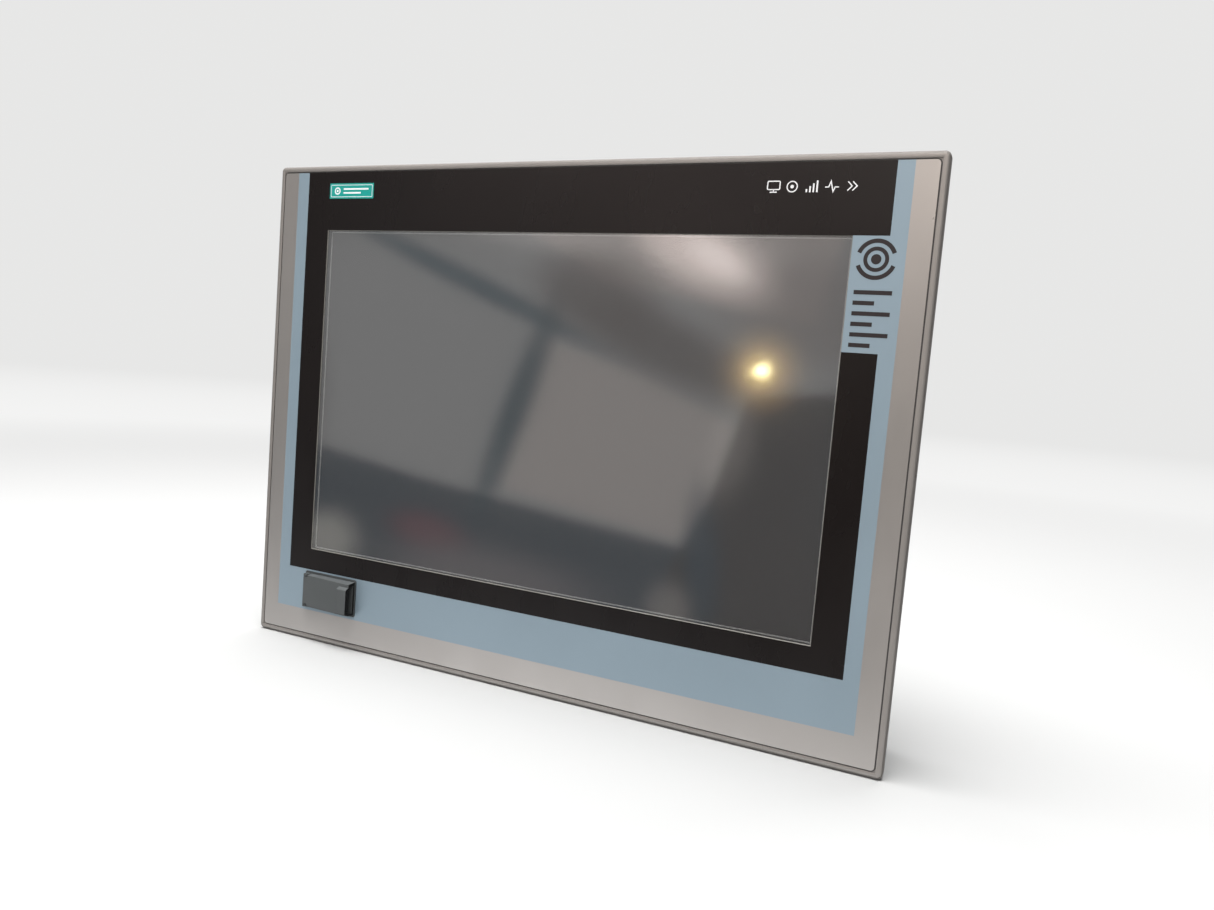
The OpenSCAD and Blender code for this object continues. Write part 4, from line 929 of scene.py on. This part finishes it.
def build_badge():
    """A plain teal badge: a fine border, a ring and two lines."""
    left, right, low, high = -165.7, -131.0, 134.3, 143.8
    mid_x, mid_z = (left + right) / 2, (low + high) / 2
    bm = bmesh.new()
    outline = rounded_outline(right - left, high - low, 0.3, (mid_x, mid_z), 4)
    add_prism(bm, scaled(outline), FOIL_Y - INK_T / 2, FOIL_Y + INK_BACK)
    new_piece("badge_ground", bm, [INK_TEAL], "front_foil")
    spot = (left + 6.2, mid_z)
    shapes = [frame_line((mid_x, mid_z), right - left - 2.2, high - low - 2.2, 0.35, 0.5),
              ring(spot, 1.9, 0.8), disc(spot, 0.7, 20),
              line((left + 11, mid_z + 1.2), (right - 4, mid_z + 1.2), 1.0),
              line((left + 11, mid_z - 1.2), (right - 10, mid_z - 1.2), 1.0)]
    printed("badge_lines", INK_WHITE, shapes)


# The row of small signs: its height and the width of its lines, in millimetres
SIGN_Z = 138.6
SIGN_LINE = 0.55


def screen_sign(x, z):
    foot = z - 2.7
    return [frame_line((x, z + 0.7), 6.4, 4.2, SIGN_LINE),
            line((x - 1.8, foot), (x + 1.8, foot), SIGN_LINE), line((x, z - 1.4), (x, foot), SIGN_LINE)]


def target_sign(x, z):
    return [ring((x, z), 2.6, SIGN_LINE), disc((x, z), 0.9)]


def steps_sign(x, z):
    """Four bars, each taller than the last."""
    foot = z - 2.9
    places = [x - 2.6 + 1.75 * i for i in range(4)]
    return [line((place, foot), (place, foot + 1.6 + 1.4 * i), 0.8) for i, place in enumerate(places)]


def pulse_sign(x, z):
    level = z - 0.4
    beat = [(x - 1.6, level), (x - 0.6, z + 2.4), (x + 0.7, z - 2.6), (x + 1.6, level)]
    return [([(x - 3.4, level), *beat, (x + 3.4, level)], SIGN_LINE, False)]


def arrows_sign(x, z):
    tips = (x - 0.6, x + 1.8)
    return [([(tip - 2.2, z + 2.2), (tip, z), (tip - 2.2, z - 2.2)], SIGN_LINE, False) for tip in tips]


SIGNS = ((123.5, screen_sign), (133.0, target_sign), (143.0, steps_sign), (153.0, pulse_sign),
         (163.5, arrows_sign))


def build_small_signs():
    """Five small white signs at the upper right."""
    printed("small_signs", INK_WHITE, [shape for x, sign in SIGNS for shape in sign(x, SIGN_Z)])


def build_touch_sign():
    """A dark touch sign beside the screen: a pressed spot with ripples, over a row of tick lines."""
    centre = (178.0, 103.2)
    thick, left, long, short = 2.1, 168.8, 18.4, 10.4
    top, pitch = 87.0, 5.2
    shapes = [disc(centre, 2.5), ring(centre, 5.2, 1.9)]
    shapes += [arc(centre, 9.0, start, start + 140, thick) for start in (200, 20)]
    for i in range(6):
        z = top - pitch * i
        shapes.append(line((left, z), (left + (short if i % 2 else long), z), thick))
    printed("touch_sign", INK_BLACK, shapes)


build_front_frame()
build_foil()
build_gap_shade_strip()
build_bezel_lip()
build_badge()
build_small_signs()
build_touch_sign()
dress("touch_glass", screen_glass())
nodes["touch_glass"].visible_shadow = False
nodes["touch_glass"].visible_diffuse = False
dress("lcd_cell", display_face())


# ---- Materials of the rest ----

SEAL_RUBBER = moulded("seal_rubber", (0.02, 0.02, 0.021), 0.65)
PORT_PLASTIC = moulded("port_plastic", (0.056, 0.061, 0.062), 0.5, spec=0.25)
FLAP_PLASTIC = moulded("flap_plastic", (0.070, 0.075, 0.076), 0.46, grain=0.02, spec=0.2)
CONNECTOR_METAL = metal("connector_metal", (0.72, 0.72, 0.73), 0.28, mottle=0.03)
CONNECTOR_BLUE = moulded("connector_blue", (0.02, 0.07, 0.30), 0.45)
CONNECTOR_BLACK = moulded("connector_black", (0.02, 0.02, 0.022), 0.45)
CONNECTOR_GREEN = moulded("connector_green", (0.03, 0.22, 0.09), 0.42)
ZINC = metal("zinc_steel", (0.62, 0.63, 0.64), 0.32, mottle=0.1)
SCREW = metal("screw_steel", (0.66, 0.66, 0.65), 0.26)
BEZEL = moulded("bezel_coat", (0.13, 0.13, 0.13), 0.5)
SHEET = galvanised("tub_steel", (0.60, 0.61, 0.62))
SINK = metal("sink_metal", (0.10, 0.103, 0.11), 0.42, brushed=(1, 1, 0.03), mottle=0.12)
PLATE = metal("plate_metal", (0.78, 0.78, 0.77), 0.3, brushed=(0.05, 1, 1))
BRASS = metal("stud_brass", (0.72, 0.52, 0.22), 0.28)
SPREADER = metal("spreader_metal", (0.75, 0.75, 0.76), 0.3, brushed=(1, 1, 0.05))
TRAY = metal("tray_metal", (0.68, 0.68, 0.68), 0.4)
CELL = metal("cell_steel", (0.74, 0.74, 0.74), 0.18)
DOOR = moulded("door_plastic", (0.045, 0.047, 0.05), 0.5)
CABLE_GREY = moulded("cable_grey", (0.16, 0.165, 0.17), 0.5)
CABLE_DARK = moulded("cable_dark", (0.02, 0.02, 0.02), 0.45)
CABLE_BLUE = moulded("cable_blue", (0.03, 0.09, 0.26), 0.5)
TAPE = moulded("tape", (0.03, 0.03, 0.032), 0.8)
GUIDE = moulded("guide_acrylic", (0.82, 0.83, 0.84), 0.3, grain=0.004)
FILM = moulded("tail_film", (0.45, 0.20, 0.03), 0.35, grain=0.004)
DRIVE = moulded("drive_case", (0.03, 0.03, 0.034), 0.4)
SWITCH = moulded("switch_black", (0.012, 0.012, 0.013), 0.4)
ROCKER = moulded("rocker_black", (0.012, 0.012, 0.013), 0.22, grain=0.004)
# Near-black plastic on the flap's grip pocket and open end: painted shade for the shadow inside, not a
# different plastic
FLAP_PAINTED_SHADE = moulded("flap_painted_shade", (0.007, 0.0065, 0.006), 0.6, spec=0.2)
PACKAGE_T = 1.25 * MM
PACKAGE = board("package", (0.012, 0.06, 0.03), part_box("processor")[0].y + PACKAGE_T)


# ---- CAD nodes that keep their shape ----

DRESSED = {
    "touch_tape": TAPE, "display_bezel": BEZEL, "light_guide": GUIDE, "display_tray": TRAY,
    "display_brackets": ZINC, "touch_tail": FILM, "touch_cable": CABLE_GREY, "display_cable": CABLE_GREY,
    "usb_shell": CONNECTOR_METAL, "usb_tongue": CONNECTOR_BLUE, "usb_cable": CABLE_GREY,
    "usb_hinge_pin": SCREW, "housing_screws": SCREW, "internal_screws": SCREW, "carrier_plate": ZINC,
    "carrier_posts": ZINC, "board_posts": ZINC, "processor": PACKAGE, "heat_spreader": SPREADER,
    "memory_socket": CONNECTOR_BLACK, "ssd_drive": DRIVE, "ssd_bracket": ZINC, "ssd_cable": CABLE_BLUE,
    "power_posts": ZINC, "power_cable": CABLE_DARK, "dc_inlet": CONNECTOR_GREEN,
    "ethernet_sockets": CONNECTOR_METAL, "rear_usb_shells": CONNECTOR_METAL,
    "rear_usb_tongues": CONNECTOR_BLUE, "display_port_shell": CONNECTOR_METAL,
    "display_port_tongue": CONNECTOR_BLACK, "serial_shell": CONNECTOR_METAL,
    "serial_insert": CONNECTOR_BLACK, "battery_holder": CONNECTOR_BLACK, "battery_cell": CELL,
    "battery_door_pin": SCREW, "type_plate": PLATE,
}
for node, material in DRESSED.items():
    dress(node, material)

# Each circuit board's thickness in millimetres
BOARDS = {"touch_board": 1.65, "usb_board": 1.65, "mainboard": 1.65, "power_board": 1.65,
          "memory_module": 1.25}
BOARD_GREEN = (0.012, 0.075, 0.03)
for node, thick in BOARDS.items():
    dress(node, board(node + "_mask", BOARD_GREEN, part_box(node)[0].y + thick * MM))


# ---- CAD nodes with a finer shape in their place ----

# The flap's finger grip: its middle in from the end, its half width, its back and its mouth
GRIP_IN, GRIP_HALF = 3.2 * MM, 3 * MM
GRIP_BACK = 4.2 * MM
GRIP_MOUTH = 0.6 * MM


def build_flap():
    """The flap, whose finger grip pocket and open end are painted near black as shade."""
    piece = softened("usb_flap", 0.35, FLAP_PLASTIC)
    piece.data.materials.append(FLAP_PAINTED_SHADE)
    pocket = Vector((flap_hi.x - GRIP_IN, (flap_lo.y + flap_hi.y) / 2, (flap_lo.z + flap_hi.z) / 2))
    for face in piece.data.polygons:
        from_pocket = face.center - pocket
        deep = abs(from_pocket.x) < GRIP_HALF and face.center.y < flap_hi.y - GRIP_BACK
        mouth = face.normal.x > 0.9 and face.center.x > flap_hi.x - GRIP_MOUTH
        # Faces inside the grip and on the open end take the painted shade
        if mouth or deep and face.normal.dot(from_pocket) < 0:
            face.material_index = 1


def build_plate_lines():
    """Plain ruled lines on the type plate, where data would be."""
    low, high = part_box("type_plate")
    centre = middle(low, high)
    margin, end = 1.5 * MM, 3.5 * MM
    border, rule = 0.35 * MM, 0.3 * MM
    width, height = high.x - low.x - 2 * margin, high.z - low.z - 2 * margin
    y_front, y_back = high.y - INK_BACK, high.y + INK_T
    bm = bmesh.new()
    add_ribbon(bm, rounded_outline(width, height, MM, centre, 4), border, y_front, y_back, closed=True)
    for row in (-1, 0, 1):
        z = centre[1] + row * height / 4
        add_ribbon(bm, [(low.x + end, z), (high.x - end, z)], rule, y_front, y_back)
    new_piece("plate_lines", bm, [INK_BLACK], "type_plate")


build_flap()
build_plate_lines()

# CAD nodes shown with their edges broken: the width in millimetres, and the material
SOFTENED = {
    "usb_port_frame": (0.2, PORT_PLASTIC), "usb_flap_seal": (0.15, SEAL_RUBBER),
    "panel_seal": (0.3, SEAL_RUBBER), "rear_housing": (0.4, SHEET), "rear_cover": (0.3, SHEET),
    "heat_sink": (0.35, SINK), "heat_sink_screws": (0.25, SCREW), "cover_screws": (0.25, SCREW),
    "battery_door": (0.3, DOOR), "switch_body": (0.2, SWITCH), "switch_rocker": (0.25, ROCKER),
    "io_bracket": (0.15, ZINC), "earth_stud": (0.2, BRASS),
}
for node, (width, material) in SOFTENED.items():
    softened(node, width, material)
